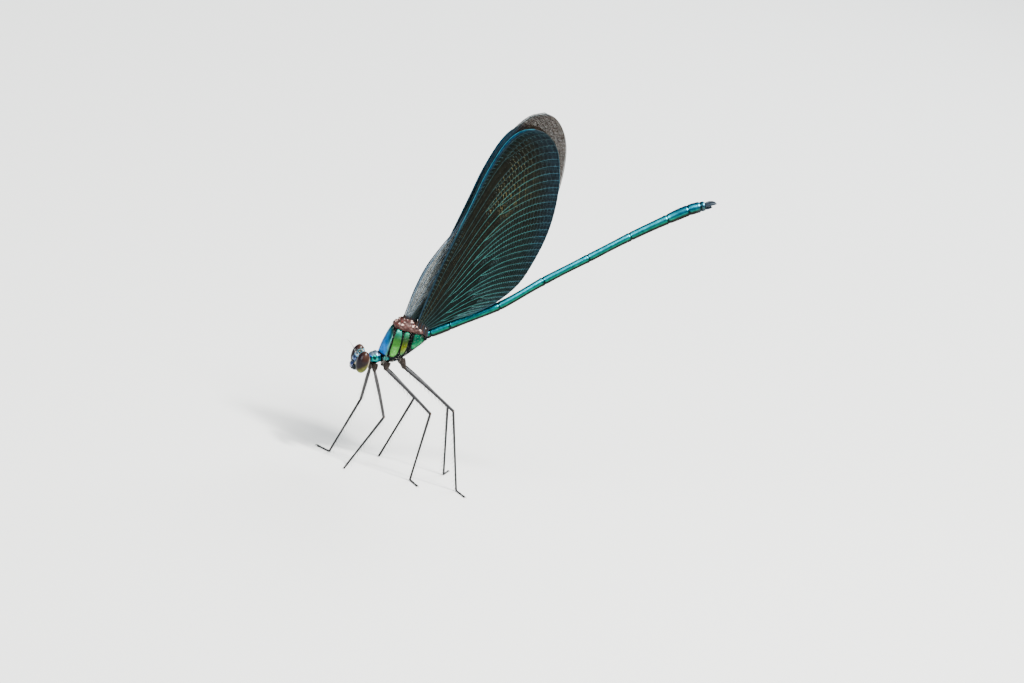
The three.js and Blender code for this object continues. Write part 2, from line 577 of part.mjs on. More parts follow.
// One leg: coxa, femur, tibia and tarsus, each shortened to leave its gap at the joint
function addLeg(name, leg) {
  const coxaTop = new THREE.Vector3(...leg.coxa);
  const hip = new THREE.Vector3(...leg.hip);
  const knee = new THREE.Vector3(...leg.knee);
  const footFloor = FOOT_TOP + GAP;
  const ankle = new THREE.Vector3(leg.ankle[0], leg.ankle[1], footFloor);
  const heel = new THREE.Vector3(leg.ankle[0], leg.ankle[1], FOOT_AXIS_HEIGHT);
  const toe = new THREE.Vector3(leg.toe[0], leg.toe[1], FOOT_AXIS_HEIGHT);
  const body = [thoraxSkin(GAP), prothoraxSkin(GAP)];
  const coxaLine = [coxaTop, coxaTop.clone().lerp(hip, COXA_MIDDLE_SHARE), hip];
  const coxa = tube(coxaLine, [COXA_RADIUS, COXA_MIDDLE_RADIUS, HIP_RADIUS], 10);
  addNode(`coxa_${name}`, clearOf(coxa, body), 'coxa');

  const thigh = knee.clone().sub(hip).normalize();
  const thighStart = hip.clone().addScaledVector(thigh, HIP_RADIUS + GAP);
  const thighEnd = knee.clone().addScaledVector(thigh, -GAP / 2);
  const thighShares = [0, 0.12, 0.5, 0.92, 1];
  const femur = tube(
    thighShares.map((s) => thighStart.clone().lerp(thighEnd, s)),
    [0.28, FEMUR_RADIUS, 0.28, 0.27, KNEE_RADIUS],
    LEG_SIDES,
    0.15,
  );
  const outward = Math.sign(leg.hip[1]);
  const bareFemur = clearOf(femur, [tube([coxaTop, hip], [COXA_RADIUS + GAP, HIP_RADIUS + GAP], 10)]);
  const femurBristles = bristlesOn(thighStart, thighEnd, outward, BRISTLES.femur);
  addNode(`femur_${name}`, fused(bareFemur, femurBristles), 'leg');

  const shin = ankle.clone().sub(knee).normalize();
  const shinStart = knee.clone().addScaledVector(shin, KNEE_RADIUS + GAP);
  const shinShares = [0, 0.06, 0.5, 1];
  const tibia = tube(
    shinShares.map((s) => shinStart.clone().lerp(ankle, s)),
    [0.28, SHIN_RADIUS, SHIN_RADIUS, THIN_RADIUS],
    LEG_SIDES,
    0,
  );
  const bareTibia = clearOf(tibia, [tube([hip, knee], [FEMUR_RADIUS + GAP, FEMUR_RADIUS + GAP], LEG_SIDES)]);
  const tibiaBristles = bristlesOn(shinStart, ankle, outward, BRISTLES.tibia);
  addNode(`tibia_${name}`, fused(bareTibia, tibiaBristles), 'leg');

  const footShares = [0, 0.2, 0.24, 0.5, 0.54, 0.86, 1];
  const footRadii = [0.24, 0.26, 0.22, 0.25, 0.22, THIN_RADIUS, 0.14];
  const foot = tube(footShares.map((s) => heel.clone().lerp(toe, s)), footRadii, LEG_SIDES);
  const position = foot.attributes.position;
  for (let i = 0; i < position.count; i += 1) {
    position.setZ(i, Math.max(position.getZ(i), 0));
  }
  addNode(`tarsus_${name}`, foot, 'leg');
}
Object.entries(LEGS).forEach(([name, leg]) => addLeg(name, leg));

// The origin is on the floor under the middle of the whole animal
const box = new THREE.Box3().setFromObject(model);
const centre = box.getCenter(new THREE.Vector3());
model.children.forEach((mesh) => mesh.geometry.translate(-centre.x, -centre.y, -box.min.z));

export default model;
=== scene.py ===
# %% [markdown]
# A broad-winged damselfly, a slim insect 60 mm long, stands on its six feet with its wings shut over its
# back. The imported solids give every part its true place. This script puts the fine skin, the veined
# wings, the hairs and the metallic colours around them. Everything is worked out in millimetres in the
# animal's own frame and moved into the row's frame at the end, so that a size here can be read like one
# on a drawing.

import math

import bpy
import numpy as np
from mathutils import Matrix, Vector

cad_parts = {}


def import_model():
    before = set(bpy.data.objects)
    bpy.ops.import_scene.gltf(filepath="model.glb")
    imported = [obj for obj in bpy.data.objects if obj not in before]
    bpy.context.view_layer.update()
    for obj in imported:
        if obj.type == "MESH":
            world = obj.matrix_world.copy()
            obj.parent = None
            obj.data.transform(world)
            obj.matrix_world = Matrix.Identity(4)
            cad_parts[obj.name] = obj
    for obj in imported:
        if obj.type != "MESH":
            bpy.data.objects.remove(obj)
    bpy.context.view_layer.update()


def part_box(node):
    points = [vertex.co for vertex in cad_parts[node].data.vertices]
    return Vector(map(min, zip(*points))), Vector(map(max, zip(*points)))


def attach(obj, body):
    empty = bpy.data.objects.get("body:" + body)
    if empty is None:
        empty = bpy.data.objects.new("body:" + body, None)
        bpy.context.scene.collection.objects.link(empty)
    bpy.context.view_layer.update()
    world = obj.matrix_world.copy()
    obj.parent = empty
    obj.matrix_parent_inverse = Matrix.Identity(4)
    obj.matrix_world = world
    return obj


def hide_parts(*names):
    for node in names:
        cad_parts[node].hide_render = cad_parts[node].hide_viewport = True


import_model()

MM = 0.001
LEFT_EYE_CENTRE = np.array([-5.97, -1.85, 16.45])
eye_low, eye_high = (np.array(corner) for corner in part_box("eye_left"))
SHIFT = (eye_low + eye_high) / 2 - LEFT_EYE_CENTRE * MM


def world(points):
    """Points of the animal's frame, in mm, as points of the row's frame, in m."""
    return np.asarray(points, float) * MM + SHIFT


print("the animal's origin in the row's frame", np.round(SHIFT, 5))

# %% [markdown]
# The camera comes first, because every later choice is judged through it. The photo looks at the animal's
# left side, a little from in front and above, and it is turned so that the body axis slopes down to the
# right. A long lens far away keeps the scale alike over the whole animal, as a telephoto or macro lens
# does.

# %% Camera
AZIMUTH = math.radians(18)
ELEVATION = math.radians(14)
ROLL = math.radians(17)
PICTURE_WIDTH = 1024
PICTURE_HEIGHT = 683
PIXELS_PER_MM = 6.5
THORAX_POINT = np.array([0.0, 0.0, 20.0])
THORAX_PIXEL = (403, 345)
LENS_MM = 300.0
SENSOR_MM = 36.0

level_right = np.array([math.cos(AZIMUTH), -math.sin(AZIMUTH), 0])
level_up = np.array([
    math.sin(AZIMUTH) * math.sin(ELEVATION),
    math.cos(AZIMUTH) * math.sin(ELEVATION),
    math.cos(ELEVATION),
])
right = level_right * math.cos(ROLL) + level_up * math.sin(ROLL)
up = -level_right * math.sin(ROLL) + level_up * math.cos(ROLL)
back = np.cross(right, up)
aim = (
    THORAX_POINT
    + right * (PICTURE_WIDTH / 2 - THORAX_PIXEL[0]) / PIXELS_PER_MM
    - up * (PICTURE_HEIGHT / 2 - THORAX_PIXEL[1]) / PIXELS_PER_MM
)
distance = LENS_MM / SENSOR_MM * PICTURE_WIDTH / PIXELS_PER_MM

camera_data = bpy.data.cameras.new("camera")
camera_data.lens = LENS_MM
camera_data.sensor_width = SENSOR_MM
camera_data.sensor_fit = "HORIZONTAL"
camera_data.clip_start = 0.01
camera_data.clip_end = 50
camera = bpy.data.objects.new("camera", camera_data)
bpy.context.scene.collection.objects.link(camera)
turn = Matrix(np.column_stack([right, up, back]).tolist()).to_4x4()
camera.matrix_world = Matrix.Translation(Vector(world(aim + back * distance))) @ turn
bpy.context.scene.camera = camera
print("camera stands", round(distance), "mm away")

# %% [markdown]
# Most pieces are grids of points: rings along a limb, or rows across a wing. A small collector joins such
# grids into one mesh, with a painted colour at each point. Building the arrays with numpy is fast and
# exact, and it leaves no modifiers to apply.

# %% Mesh collector


class Shell:
    """Joins closed grids into one mesh, with a colour and a place on an unwrap for each point."""

    def __init__(self):
        self.points, self.faces, self.paint, self.unwrap = [], [], [], []
        self.count = 0

    def add(self, points, faces, paint, unwrap=None):
        """Points with their colours, and faces that count from the first of these points."""
        points = np.asarray(points, float).reshape(-1, 3)
        paint = np.broadcast_to(np.asarray(paint, float), (len(points), np.shape(paint)[-1]))
        if paint.shape[1] == 3:
            paint = np.column_stack([paint, np.ones(len(points))])
        if unwrap is None:
            unwrap = np.zeros((len(points), 2))
        self.points.append(points)
        self.paint.append(paint)
        self.unwrap.append(unwrap)
        self.faces.extend(tuple(i + self.count for i in face) for face in faces)
        self.count += len(points)

    def add_block(self, points, blocks, paint, unwrap=None):
        """Many faces at once, given as arrays of corners."""
        for block in blocks:
            self.faces.extend(map(tuple, (block + self.count).tolist()))
        self.add(points, [], paint, unwrap)

    def add_rings(self, rings, paint):
        """A closed skin over rings of points, shut by a point at each end."""
        rings = np.asarray(rings, float)
        rows, around, _ = rings.shape
        paint = np.broadcast_to(np.asarray(paint, float), (rows, around, np.shape(paint)[-1]))
        ends = [rings[0].mean(axis=0), rings[-1].mean(axis=0)]
        points = np.vstack([rings.reshape(-1, 3), ends])
        colours = np.vstack([paint.reshape(rows * around, -1), paint[0, :1], paint[-1, :1]])
        faces = []
        for row in range(rows - 1):
            for i in range(around):
                j = (i + 1) % around
                a, b = row * around, (row + 1) * around
                faces.append((a + i, a + j, b + j, b + i))
        first, last, end = rows * around, rows * around + 1, (rows - 1) * around
        for i in range(around):
            j = (i + 1) % around
            faces.append((first, j, i))
            faces.append((last, end + i, end + j))
        if ring_volume(rings) < 0:
            faces = [face[::-1] for face in faces]
        self.add(points, faces, colours)

    def make(self, name, material, slot, nodes=(), smooth=True, coat=False):
        """The finished piece, which stands for the named nodes of the solids."""
        mesh = bpy.data.meshes.new(name)
        points = np.vstack(self.points)
        mesh.from_pydata(world(points).tolist(), [], self.faces)
        colours = mesh.color_attributes.new("paint", "FLOAT_COLOR", "POINT")
        colours.data.foreach_set("color", np.vstack(self.paint).ravel())
        if coat:
            unwrap = np.vstack(self.unwrap)
            corners = np.empty(len(mesh.loops), int)
            mesh.loops.foreach_get("vertex_index", corners)
            mesh.uv_layers.new(name="OFBake").data.foreach_set("uv", unwrap[corners].ravel())
        mesh.materials.append(material)
        mesh.polygons.foreach_set("use_smooth", [smooth] * len(mesh.polygons))
        mesh.validate()
        piece = bpy.data.objects.new(name, mesh)
        bpy.context.scene.collection.objects.link(piece)
        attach(piece, "root")
        if nodes:
            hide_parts(*nodes)
        print(name, len(self.faces), "faces")
        return piece


def ring_volume(rings):
    """The signed volume swept by rings, for the way their faces point."""
    middle = rings.mean(axis=1)
    total = 0.0
    for row in range(len(rings) - 1):
        step = middle[row + 1] - middle[row]
        spokes = rings[row] - middle[row]
        area = np.cross(spokes, np.roll(spokes, -1, axis=0)).sum(axis=0) / 2
        total += float(area @ step)
    return total


# %% [markdown]
# Curves through a few chosen points follow the same rule as in the solids, a centripetal Catmull-Rom
# spline, so the skin lies where the solids are. A tube along such a curve carries its cross direction
# from ring to ring, which keeps it from twisting.

# %% Curves and tubes
KNOT_POWER = 0.25
FINE_STEPS = 400


def spline(points, shares, closed=False):
    """A centripetal Catmull-Rom curve through points, at shares of the way from 0 to 1."""
    points = np.asarray(points, float)
    count = len(points)
    if closed:
        padded = np.vstack([points[-1], points, points[0], points[1]])
        spans = count
    else:
        padded = np.vstack([2 * points[0] - points[1], points, 2 * points[-1] - points[-2]])
        spans = count - 1
    place = np.clip(np.asarray(shares, float), 0, 1) * spans
    cell = np.minimum(place.astype(int), spans - 1)
    t = (place - cell)[:, None]
    p0, p1, p2, p3 = (padded[cell + k] for k in range(4))
    d0, d1, d2 = (
        np.maximum((((b - a) ** 2).sum(axis=1) ** KNOT_POWER)[:, None], 1e-6)
        for a, b in ((p0, p1), (p1, p2), (p2, p3))
    )
    m1 = ((p1 - p0) / d0 - (p2 - p0) / (d0 + d1) + (p2 - p1) / d1) * d1
    m2 = ((p2 - p1) / d1 - (p3 - p1) / (d1 + d2) + (p3 - p2) / d2) * d1
    a, b = 2 * p1 - 2 * p2 + m1 + m2, -3 * p1 + 3 * p2 - 2 * m1 - m2
    return ((a * t + b) * t + m1) * t + p1


def even_spline(points, shares):
    """The same curve with shares measured along its length."""
    fine = spline(points, np.linspace(0, 1, FINE_STEPS))
    walked = np.concatenate([[0], np.cumsum(np.linalg.norm(np.diff(fine, axis=0), axis=1))])
    wanted = np.asarray(shares, float) * walked[-1]
    return np.column_stack([np.interp(wanted, walked, fine[:, k]) for k in range(fine.shape[1])])


def side(points):
    """Points of a side view, x and z, set in the animal's middle plane."""
    points = np.asarray(points, float)
    return np.column_stack([points[:, 0], np.zeros(len(points)), points[:, 1]])


def path_frames(path):
    """The directions along, across and above a path at each of its points."""
    path = np.asarray(path, float)
    along = np.gradient(path, axis=0)
    along /= np.linalg.norm(along, axis=1)[:, None]
    start = np.array([0.0, 1, 0]) if abs(along[0][1]) < 0.9 else np.array([1.0, 0, 0])
    across, above = [], []
    for direction in along:
        start = start - direction * (start @ direction)
        start = start / np.linalg.norm(start)
        across.append(start)
        above.append(np.cross(direction, start))
    return along, np.array(across), np.array(above)


def tube(path, wide, high=None, sides=16):
    """Rings of an oval tube along a path. wide and high are half sizes at each point."""
    high = wide if high is None else high
    _, across, above = path_frames(path)
    angles = np.arange(sides) / sides * 2 * np.pi
    wide = np.broadcast_to(wide, len(path))[:, None, None]
    high = np.broadcast_to(high, len(path))[:, None, None]
    reach = across[:, None, :] * np.cos(angles)[None, :, None] * wide
    rise = above[:, None, :] * np.sin(angles)[None, :, None] * high
    return np.asarray(path)[:, None, :] + reach + rise


def ball(centre, radii, rows=18, around=26, tilt=0.0):
    """Rings of an ellipsoid with its poles along the width, tipped in side view by tilt."""
    polar = np.linspace(0.04, np.pi - 0.04, rows)[:, None]
    angles = (np.arange(around) / around * 2 * np.pi)[None, :]
    x = np.sin(polar) * np.cos(angles) * radii[0]
    y = -np.cos(polar) * radii[1] * np.ones_like(angles)
    z = np.sin(polar) * np.sin(angles) * radii[2]
    c, s = math.cos(tilt), math.sin(tilt)
    return np.stack([x * c - z * s, y, x * s + z * c], axis=-1) + np.asarray(centre, float)


def smooth_step(low, high, value):
    """Rises gently from 0 at low to 1 at high."""
    share = np.clip((np.asarray(value, float) - low) / (high - low), 0, 1)
    return share * share * (3 - 2 * share)


def mix(first, second, share):
    """Blends two colours by a share, point by point."""
    share = np.asarray(share, float)[..., None]
    return np.asarray(first, float) * (1 - share) + np.asarray(second, float) * share


print("a ball of radius 1 mm holds", round(abs(ring_volume(ball((0, 0, 0), (1, 1, 1)))), 2), "cubic mm")

# %% [markdown]
# The shell of a damselfly is hard, smooth and metallic, with a very fine grain. One recipe serves every
# shell: the painted colour is broken up by two sizes of noise, the gloss varies a little with the same
# noise, and a fine bump gives the grain. Each finish then has its own amounts. The noise is read from the
# object's own place, so it stays put from every side.

# %% Shell finish
PER_MM = 1 / MM
EDGE_TINT = (0.6, 0.9, 1.0)
COAT_ROUGHNESS = 0.08
PATCHES_PER_MM = 1.6
NOISE_SPAN = (0.3, 0.7)
GRAIN_DEPTH = 0.03


def shell_material(
    name, metallic, gloss, grain=9.0, relief=0.25, mottle=0.35, coat=0.0, shine=0.5, edge=1.0, clear=False,
):
    """A painted, slightly mottled shell. gloss is the span of its roughness, grain the grains per mm."""
    material = bpy.data.materials.new(name)
    material.use_nodes = True
    nodes, links = material.node_tree.nodes, material.node_tree.links
    shader = nodes["Principled BSDF"]
    shader.inputs["Metallic"].default_value = metallic
    shader.inputs["Specular IOR Level"].default_value = shine
    edge_tint = [part * edge for part in EDGE_TINT] if edge < 1 else [1.0, 1.0, 1.0]
    shader.inputs["Specular Tint"].default_value = (*edge_tint, 1)
    shader.inputs["Coat Weight"].default_value = coat
    shader.inputs["Coat Roughness"].default_value = COAT_ROUGHNESS
    place = nodes.new("ShaderNodeTexCoord")
    paint = nodes.new("ShaderNodeAttribute")
    paint.attribute_name = "paint"
    broad = nodes.new("ShaderNodeTexNoise")
    broad.inputs["Scale"].default_value = PATCHES_PER_MM * PER_MM
    broad.inputs["Detail"].default_value = 4
    links.new(place.outputs["Object"], broad.inputs["Vector"])
    fine = nodes.new("ShaderNodeTexNoise")
    fine.inputs["Scale"].default_value = grain * PER_MM
    fine.inputs["Detail"].default_value = 3
    links.new(place.outputs["Object"], fine.inputs["Vector"])
    shade = nodes.new("ShaderNodeMapRange")
    shade.inputs["From Min"].default_value = NOISE_SPAN[0]
    shade.inputs["From Max"].default_value = NOISE_SPAN[1]
    shade.inputs["To Min"].default_value = 1 - mottle
    shade.inputs["To Max"].default_value = 1 + mottle
    links.new(broad.outputs["Fac"], shade.inputs["Value"])
    tint = nodes.new("ShaderNodeVectorMath")
    tint.operation = "SCALE"
    links.new(paint.outputs["Color"], tint.inputs[0])
    links.new(shade.outputs["Result"], tint.inputs["Scale"])
    links.new(tint.outputs["Vector"], shader.inputs["Base Color"])
    polish = nodes.new("ShaderNodeMapRange")
    polish.inputs["To Min"].default_value = gloss[0]
    polish.inputs["To Max"].default_value = gloss[1]
    links.new(fine.outputs["Fac"], polish.inputs["Value"])
    links.new(polish.outputs["Result"], shader.inputs["Roughness"])
    bump = nodes.new("ShaderNodeBump")
    bump.inputs["Strength"].default_value = relief
    bump.inputs["Distance"].default_value = GRAIN_DEPTH * MM
    links.new(fine.outputs["Fac"], bump.inputs["Height"])
    links.new(bump.outputs["Normal"], shader.inputs["Normal"])
    if clear:
        links.new(paint.outputs["Alpha"], shader.inputs["Alpha"])
    return material


METAL_SHELL = shell_material("metallic_shell", 0.9, (0.22, 0.42), coat=0.03, shine=0.25, edge=0.45)
HEAD_SHELL = shell_material("head_shell", 0.65, (0.22, 0.45), coat=0.1, shine=0.25, edge=0.6)
DULL_SHELL = shell_material("dull_shell", 0.0, (0.4, 0.65), grain=14, relief=0.5, shine=0.15)
LEG_SHELL = shell_material("leg_shell", 0.1, (0.35, 0.6), grain=12, relief=0.35, shine=0.15)
BLACK_GLOSS = shell_material("black_gloss", 0.2, (0.18, 0.35), coat=0.4)
HAIR = shell_material("hair", 0.0, (0.4, 0.6), grain=3, relief=0.0, mottle=0.2, shine=0.25)
print(len(bpy.data.materials), "finishes")

# %% [markdown]
# The colours are linear values and very dark, because polished metal shows most of its colour through
# what it mirrors. One list of paints keeps the same blue, green and brown on every piece, as on the real
# animal, whose shell makes them all by the same fine layers. Colours that only one piece has stand with
# that piece.

# %% Paints
BLACK = np.array([0.003, 0.0035, 0.005])
BLUE_BLACK = np.array([0.003, 0.007, 0.03])
TEAL = np.array([0.0, 0.15, 0.19])
SEA_GREEN = np.array([0.002, 0.13, 0.075])
SKY = np.array([0.015, 0.16, 0.5])
LEAF = np.array([0.05, 0.21, 0.035])
OLIVE = np.array([0.11, 0.14, 0.008])
BROWN = np.array([0.022, 0.012, 0.009])
SEAM_BLACK = np.array([0.004, 0.005, 0.005])
CREAM = np.array([0.4, 0.34, 0.22])
print("brightest part of the blue", SKY.max())

# %% [markdown]
# The abdomen is a thin rod of ten lengths. In life each length slides into the next, so a dark ring and a
# slight step show at every joint. One tube runs through all ten, with its radius pinched at the joints,
# and so no gap of the solids shows.

# %% Abdomen
ABDOMEN_JOINTS = [
    (2.91, 22.39, 0.72), (3.6, 22.84, 0.7), (6.27, 24.67, 0.71), (12.99, 29.35, 0.66), (18.76, 34.81, 0.64),
    (24.63, 39.93, 0.63), (30.1, 44.72, 0.65), (35.04, 48.7, 0.74), (37.83, 50.8, 0.82),
    (39.52, 51.77, 0.76), (40.27, 52.12, 0.64),
]
ABDOMEN_WAIST = [0.02, 0.06, -0.07, -0.06, -0.05, -0.04, -0.02, 0.05, 0.05, 0.02]
ABDOMEN_AROUND = 40
RING_STEP = 0.11
JOINT_REACH = 0.16
JOINT_DEPTH = 0.07
FLARE_HEIGHT = 0.03
FLARE_AT = 0.3
FLARE_REACH = 0.22
ABDOMEN_OVAL = 1.04
joints = np.array(ABDOMEN_JOINTS)
lengths = len(joints) - 1

shares, radii, segment, from_joint = [], [], [], []
for i in range(lengths):
    length = np.linalg.norm(joints[i + 1, :2] - joints[i, :2])
    steps = max(int(length / RING_STEP), 6)
    for s in np.arange(steps) / steps:
        near = min(s, 1 - s) * length
        behind = (1 - s) * length
        swell = ABDOMEN_WAIST[i] * math.sin(math.pi * s)
        pinch = JOINT_DEPTH * math.exp(-((near / JOINT_REACH) ** 2))
        flare = FLARE_HEIGHT * math.exp(-(((behind - FLARE_AT) / FLARE_REACH) ** 2))
        shares.append((i + s) / lengths)
        radii.append(joints[i, 2] * (1 - s) + joints[i + 1, 2] * s + swell - pinch + flare)
        segment.append(i + s)
        from_joint.append(near)
shares, radii, segment, from_joint = map(np.array, (shares, radii, segment, from_joint))
abdomen_path = spline(side(joints[:, :2]), shares)
abdomen_rings = tube(abdomen_path, radii, radii * ABDOMEN_OVAL, ABDOMEN_AROUND)
print(len(radii), "rings along the abdomen, radius", radii.min().round(2), "to", radii.max().round(2))

# %% [markdown]
# The colour of the abdomen depends on how high a point lies on its ring, from -1 on the belly to 1 on the
# back. Each band is one blend over the last: green flank, a painted highlight as a bright cyan line on the
# upper flank, dark blue line along the back, and a dark belly of painted shade. A blend by height is
# chosen over a pattern in the material, because it follows every bend of the body.

# %% Abdomen paint
PAINTED_CYAN_HIGHLIGHT = np.array([0.02, 0.7, 0.9])
BACK_BLUE = np.array([0.0, 0.03, 0.12])
PAINTED_BELLY_SHADE = np.array([0.006, 0.014, 0.01])
TAIL_BLUE = np.array([0.0, 0.05, 0.14])
TAIL_GREY = np.array([0.05, 0.075, 0.09])
JOINT_MARK = 0.17
rise = -np.sin(np.arange(ABDOMEN_AROUND) / ABDOMEN_AROUND * 2 * np.pi)[None, :]
if abdomen_rings[50, 10, 2] > abdomen_path[50, 2]:
    rise = -rise
row = segment[:, None]
back_line = 0.76 + 0.16 * smooth_step(1.5, 4.0, row)
above_line = rise - back_line
skin = mix(SEA_GREEN, TEAL, smooth_step(0.0, 0.4, rise + 0 * row))
# Painted highlight: a bright cyan band along the upper flank, just under the line along the back.
skin = mix(skin, PAINTED_CYAN_HIGHLIGHT, 0.95 * np.exp(-(((above_line + 0.2) / 0.2) ** 2)))
skin = mix(skin, BACK_BLUE, smooth_step(0.0, 0.06, above_line + 0.02 * np.sin(row * 9)))
skin = mix(skin, BLACK, smooth_step(0.12, 0.2, above_line))
# Painted shade: the lower side darkens to a dark green, then to a near-black brown on the belly.
skin = mix(skin, PAINTED_BELLY_SHADE, smooth_step(0.06, -0.22, rise + 0 * row))
skin = mix(skin, BROWN * 0.6, smooth_step(-0.25, -0.5, rise + 0 * row))
skin = mix(skin, TAIL_BLUE, 0.6 * smooth_step(6.9, 7.6, row) * smooth_step(-0.2, 0.3, rise))
skin = mix(skin, TAIL_GREY, 0.5 * smooth_step(8.4, 9.2, row + 0 * rise))
ring_mark = np.exp(-((from_joint / JOINT_MARK) ** 2))[:, None] * (segment > 0.8)[:, None]
skin = mix(skin, BLACK, np.clip(ring_mark, 0, 1) + 0 * rise)

abdomen = Shell()
abdomen.add_rings(abdomen_rings, skin)
abdomen.make("abdomen_skin", METAL_SHELL, "abdomen_shell", [f"abdomen_{i + 1}" for i in range(lengths)])

# %% [markdown]
# Behind the last length a male has four claspers: two long ones above that bend towards each other like
# tongs, and two short ones below. Each is a tapered tube, and the upper two have a few blunt teeth on the
# outer side.

# %% Claspers
CERCUS = [
    (0, 0.4, 0.1), (0.35, 0.52, 0.16), (0.7, 0.6, 0.2),
    (1.3, 0.52, 0.16), (1.66, 0.3, 0.06), (1.74, 0.2, 0.02),
]
CERCUS_THICK = (0.17, 0.2, 0.19, 0.16, 0.11, 0.05)
PARAPROCT = [(-0.05, 0.28, -0.3), (0.55, 0.3, -0.38), (1.0, 0.26, -0.34)]
PARAPROCT_THICK = (0.19, 0.16, 0.07)
CLASPER_SINK = 0.25
CLASPER_STEPS = 22
CLASPER_OVAL = 1.15
TOOTH_SIZE = (0.06, 0.07, 0.05)
TEETH_AT = (8, 11, 14)
CLASPER_BLUE = np.array([0.012, 0.02, 0.03])
tail_end = spline(side(joints[:, :2]), [0.999, 1.0])
tail_along = (tail_end[1] - tail_end[0]) / np.linalg.norm(tail_end[1] - tail_end[0])
tail_above = np.array([-tail_along[2], 0, tail_along[0]])

claspers = Shell()
for hand in (-1, 1):
    for points, thick in ((CERCUS, CERCUS_THICK), (PARAPROCT, PARAPROCT_THICK)):
        points = np.array(points)
        points[0, 0] -= CLASPER_SINK
        bent = tail_end[1] + points[:, :1] * tail_along + points[:, 2:] * tail_above
        bent[:, 1] += points[:, 1] * hand
        steps = np.linspace(0, 1, CLASPER_STEPS)
        fine = spline(bent, steps)
        width = np.interp(steps, np.linspace(0, 1, len(thick)), thick)
        claspers.add_rings(tube(fine, width, width * CLASPER_OVAL, 14), CLASPER_BLUE)
        if thick is CERCUS_THICK:
            for k in TEETH_AT:
                tooth = fine[k] + np.array([0, hand * (width[k] + 0.01), 0])
                claspers.add_rings(ball(tooth, TOOTH_SIZE, 8, 10), CLASPER_BLUE)
claspers.make("claspers", LEG_SHELL, "clasper", [
    "cercus_left", "cercus_right", "paraproct_left", "paraproct_right",
])

# %% [markdown]
# The thorax is a slanted box with rounded sides. Three dark seams run from the legs up to the wing roots
# and part it into panels of different metallic colours. The skin is drawn between a back line and a belly
# line, as in the solids, and each seam is a narrow groove in it. The panels are painted by where a point
# lies between the seams and how high it is, so their ends come out rounded.

# %% Thorax
THORAX_BACK = [
    (-3.5, 18.35), (-3.05, 20.6), (-2.2, 23.05), (-0.9, 23.1), (0.55, 23.1), (1.7, 23.1), (2.45, 23.05),
]
THORAX_BELLY = [
    (-2.8, 16.9), (-2.85, 16.75), (-2.6, 16.8), (-0.95, 17.2), (0.25, 18.2), (1.9, 20.1), (3.4, 21.75),
]
THORAX_WIDEST = 1.95
THORAX_NECK_WIDTH = 0.8
THORAX_REAR_WIDTH = 0.85
SEAMS = (0.333, 0.5, 0.667)
SEAM_HALF = 0.009
SEAM_DEPTH = 0.13
PANEL_BULGE = 0.07
KEEL_HALF = 0.05
KEEL_HEIGHT = 0.08
SECTION_HEIGHT_POWER = 0.85
SECTION_WIDTH_POWER = 0.8
SECTION_NARROWING = 0.16
THORAX_EARLY = 1.05
THORAX_SWELL_POWER = 0.6
THORAX_ROWS = 190
THORAX_AROUND = 144


def rounded_section(around):
    """Height and spread, from -1 to 1, of a rounded box at even angles."""
    angles = np.arange(around) / around * 2 * np.pi
    height = np.sign(np.sin(angles)) * np.abs(np.sin(angles)) ** SECTION_HEIGHT_POWER
    spread = np.sign(np.cos(angles)) * np.abs(np.cos(angles)) ** SECTION_WIDTH_POWER
    return angles, height, spread


t = np.linspace(0, 1, THORAX_ROWS)
top = spline(side(THORAX_BACK), t)
foot = spline(side(THORAX_BELLY), t)
_, height, spread = rounded_section(THORAX_AROUND)
swell = np.sin(np.pi * np.minimum(t * THORAX_EARLY, 1)) ** THORAX_SWELL_POWER
ends = THORAX_NECK_WIDTH * (1 - t) + THORAX_REAR_WIDTH * t
width = ends + (THORAX_WIDEST - ends) * swell
middle, half = (top + foot) / 2, (top - foot) / 2
seam_cut = sum(np.exp(-(((t - s) / SEAM_HALF) ** 2)) for s in SEAMS)
edges = np.array((0.0,) + SEAMS + (1.0,))
panel = np.searchsorted(edges, t, side="right") - 1
panel = np.clip(panel, 0, 3)
across_panel = (t - edges[panel]) / (edges[panel + 1] - edges[panel])
bulge = PANEL_BULGE * np.sin(np.pi * across_panel)
side_only = np.abs(spread)[None, :]
out = width[:, None] * (1 - SECTION_NARROWING * height[None, :])
out = out + (bulge - SEAM_DEPTH * seam_cut)[:, None] * side_only
thorax_rings = middle[:, None, :] + half[:, None, :] * height[None, :, None]
thorax_rings[:, :, 1] += out * spread[None, :]
keel = np.exp(-((spread / KEEL_HALF) ** 2)) * (height > 0)
front = smooth_step(0.3, 0.22, t)
upward = half / np.linalg.norm(half, axis=1)[:, None]
thorax_rings += upward[:, None, :] * (KEEL_HEIGHT * keel[None, :, None] * front[:, None, None])
print("thorax", round(float(np.ptp(thorax_rings[:, :, 1])), 2), "mm wide")

# %% [markdown]
# Four panels show between the seams: a blue front, a green side, an olive one and a green rear. Each has
# its own colour and fades to black at a rounded edge. The rounded edge is a superellipse, the curve
# between an oval and a box, so that one power per panel says how square it is. Below the front panel lies
# one small teal plate.

# %% Thorax paint
FRONT_FOOT_GREEN = np.array([0.03, 0.13, 0.1])
SHOULDER_TEAL = np.array([0.005, 0.22, 0.17])
REAR_FOOT_GREEN = np.array([0.01, 0.13, 0.05])
PLATE_TEAL = np.array([0.0, 0.12, 0.11])
BELLY_BROWN = np.array([0.1, 0.055, 0.03])
way = t[:, None] + 0 * height[None, :]
tall = height[None, :] + 0 * way
to_seam = way / SEAMS[0] + 0.35 * (tall < -0.2) * -tall
front_colour = mix(FRONT_FOOT_GREEN, SKY, smooth_step(0.9, 0.45, to_seam))
side_green = mix(LEAF, SHOULDER_TEAL, smooth_step(0.25, 0.75, tall))
olive = mix(SEA_GREEN, OLIVE, np.exp(-(((tall + 0.05) / 0.45) ** 2)))
rear_green = mix(REAR_FOOT_GREEN, SEA_GREEN, smooth_step(-0.4, 0.5, tall))
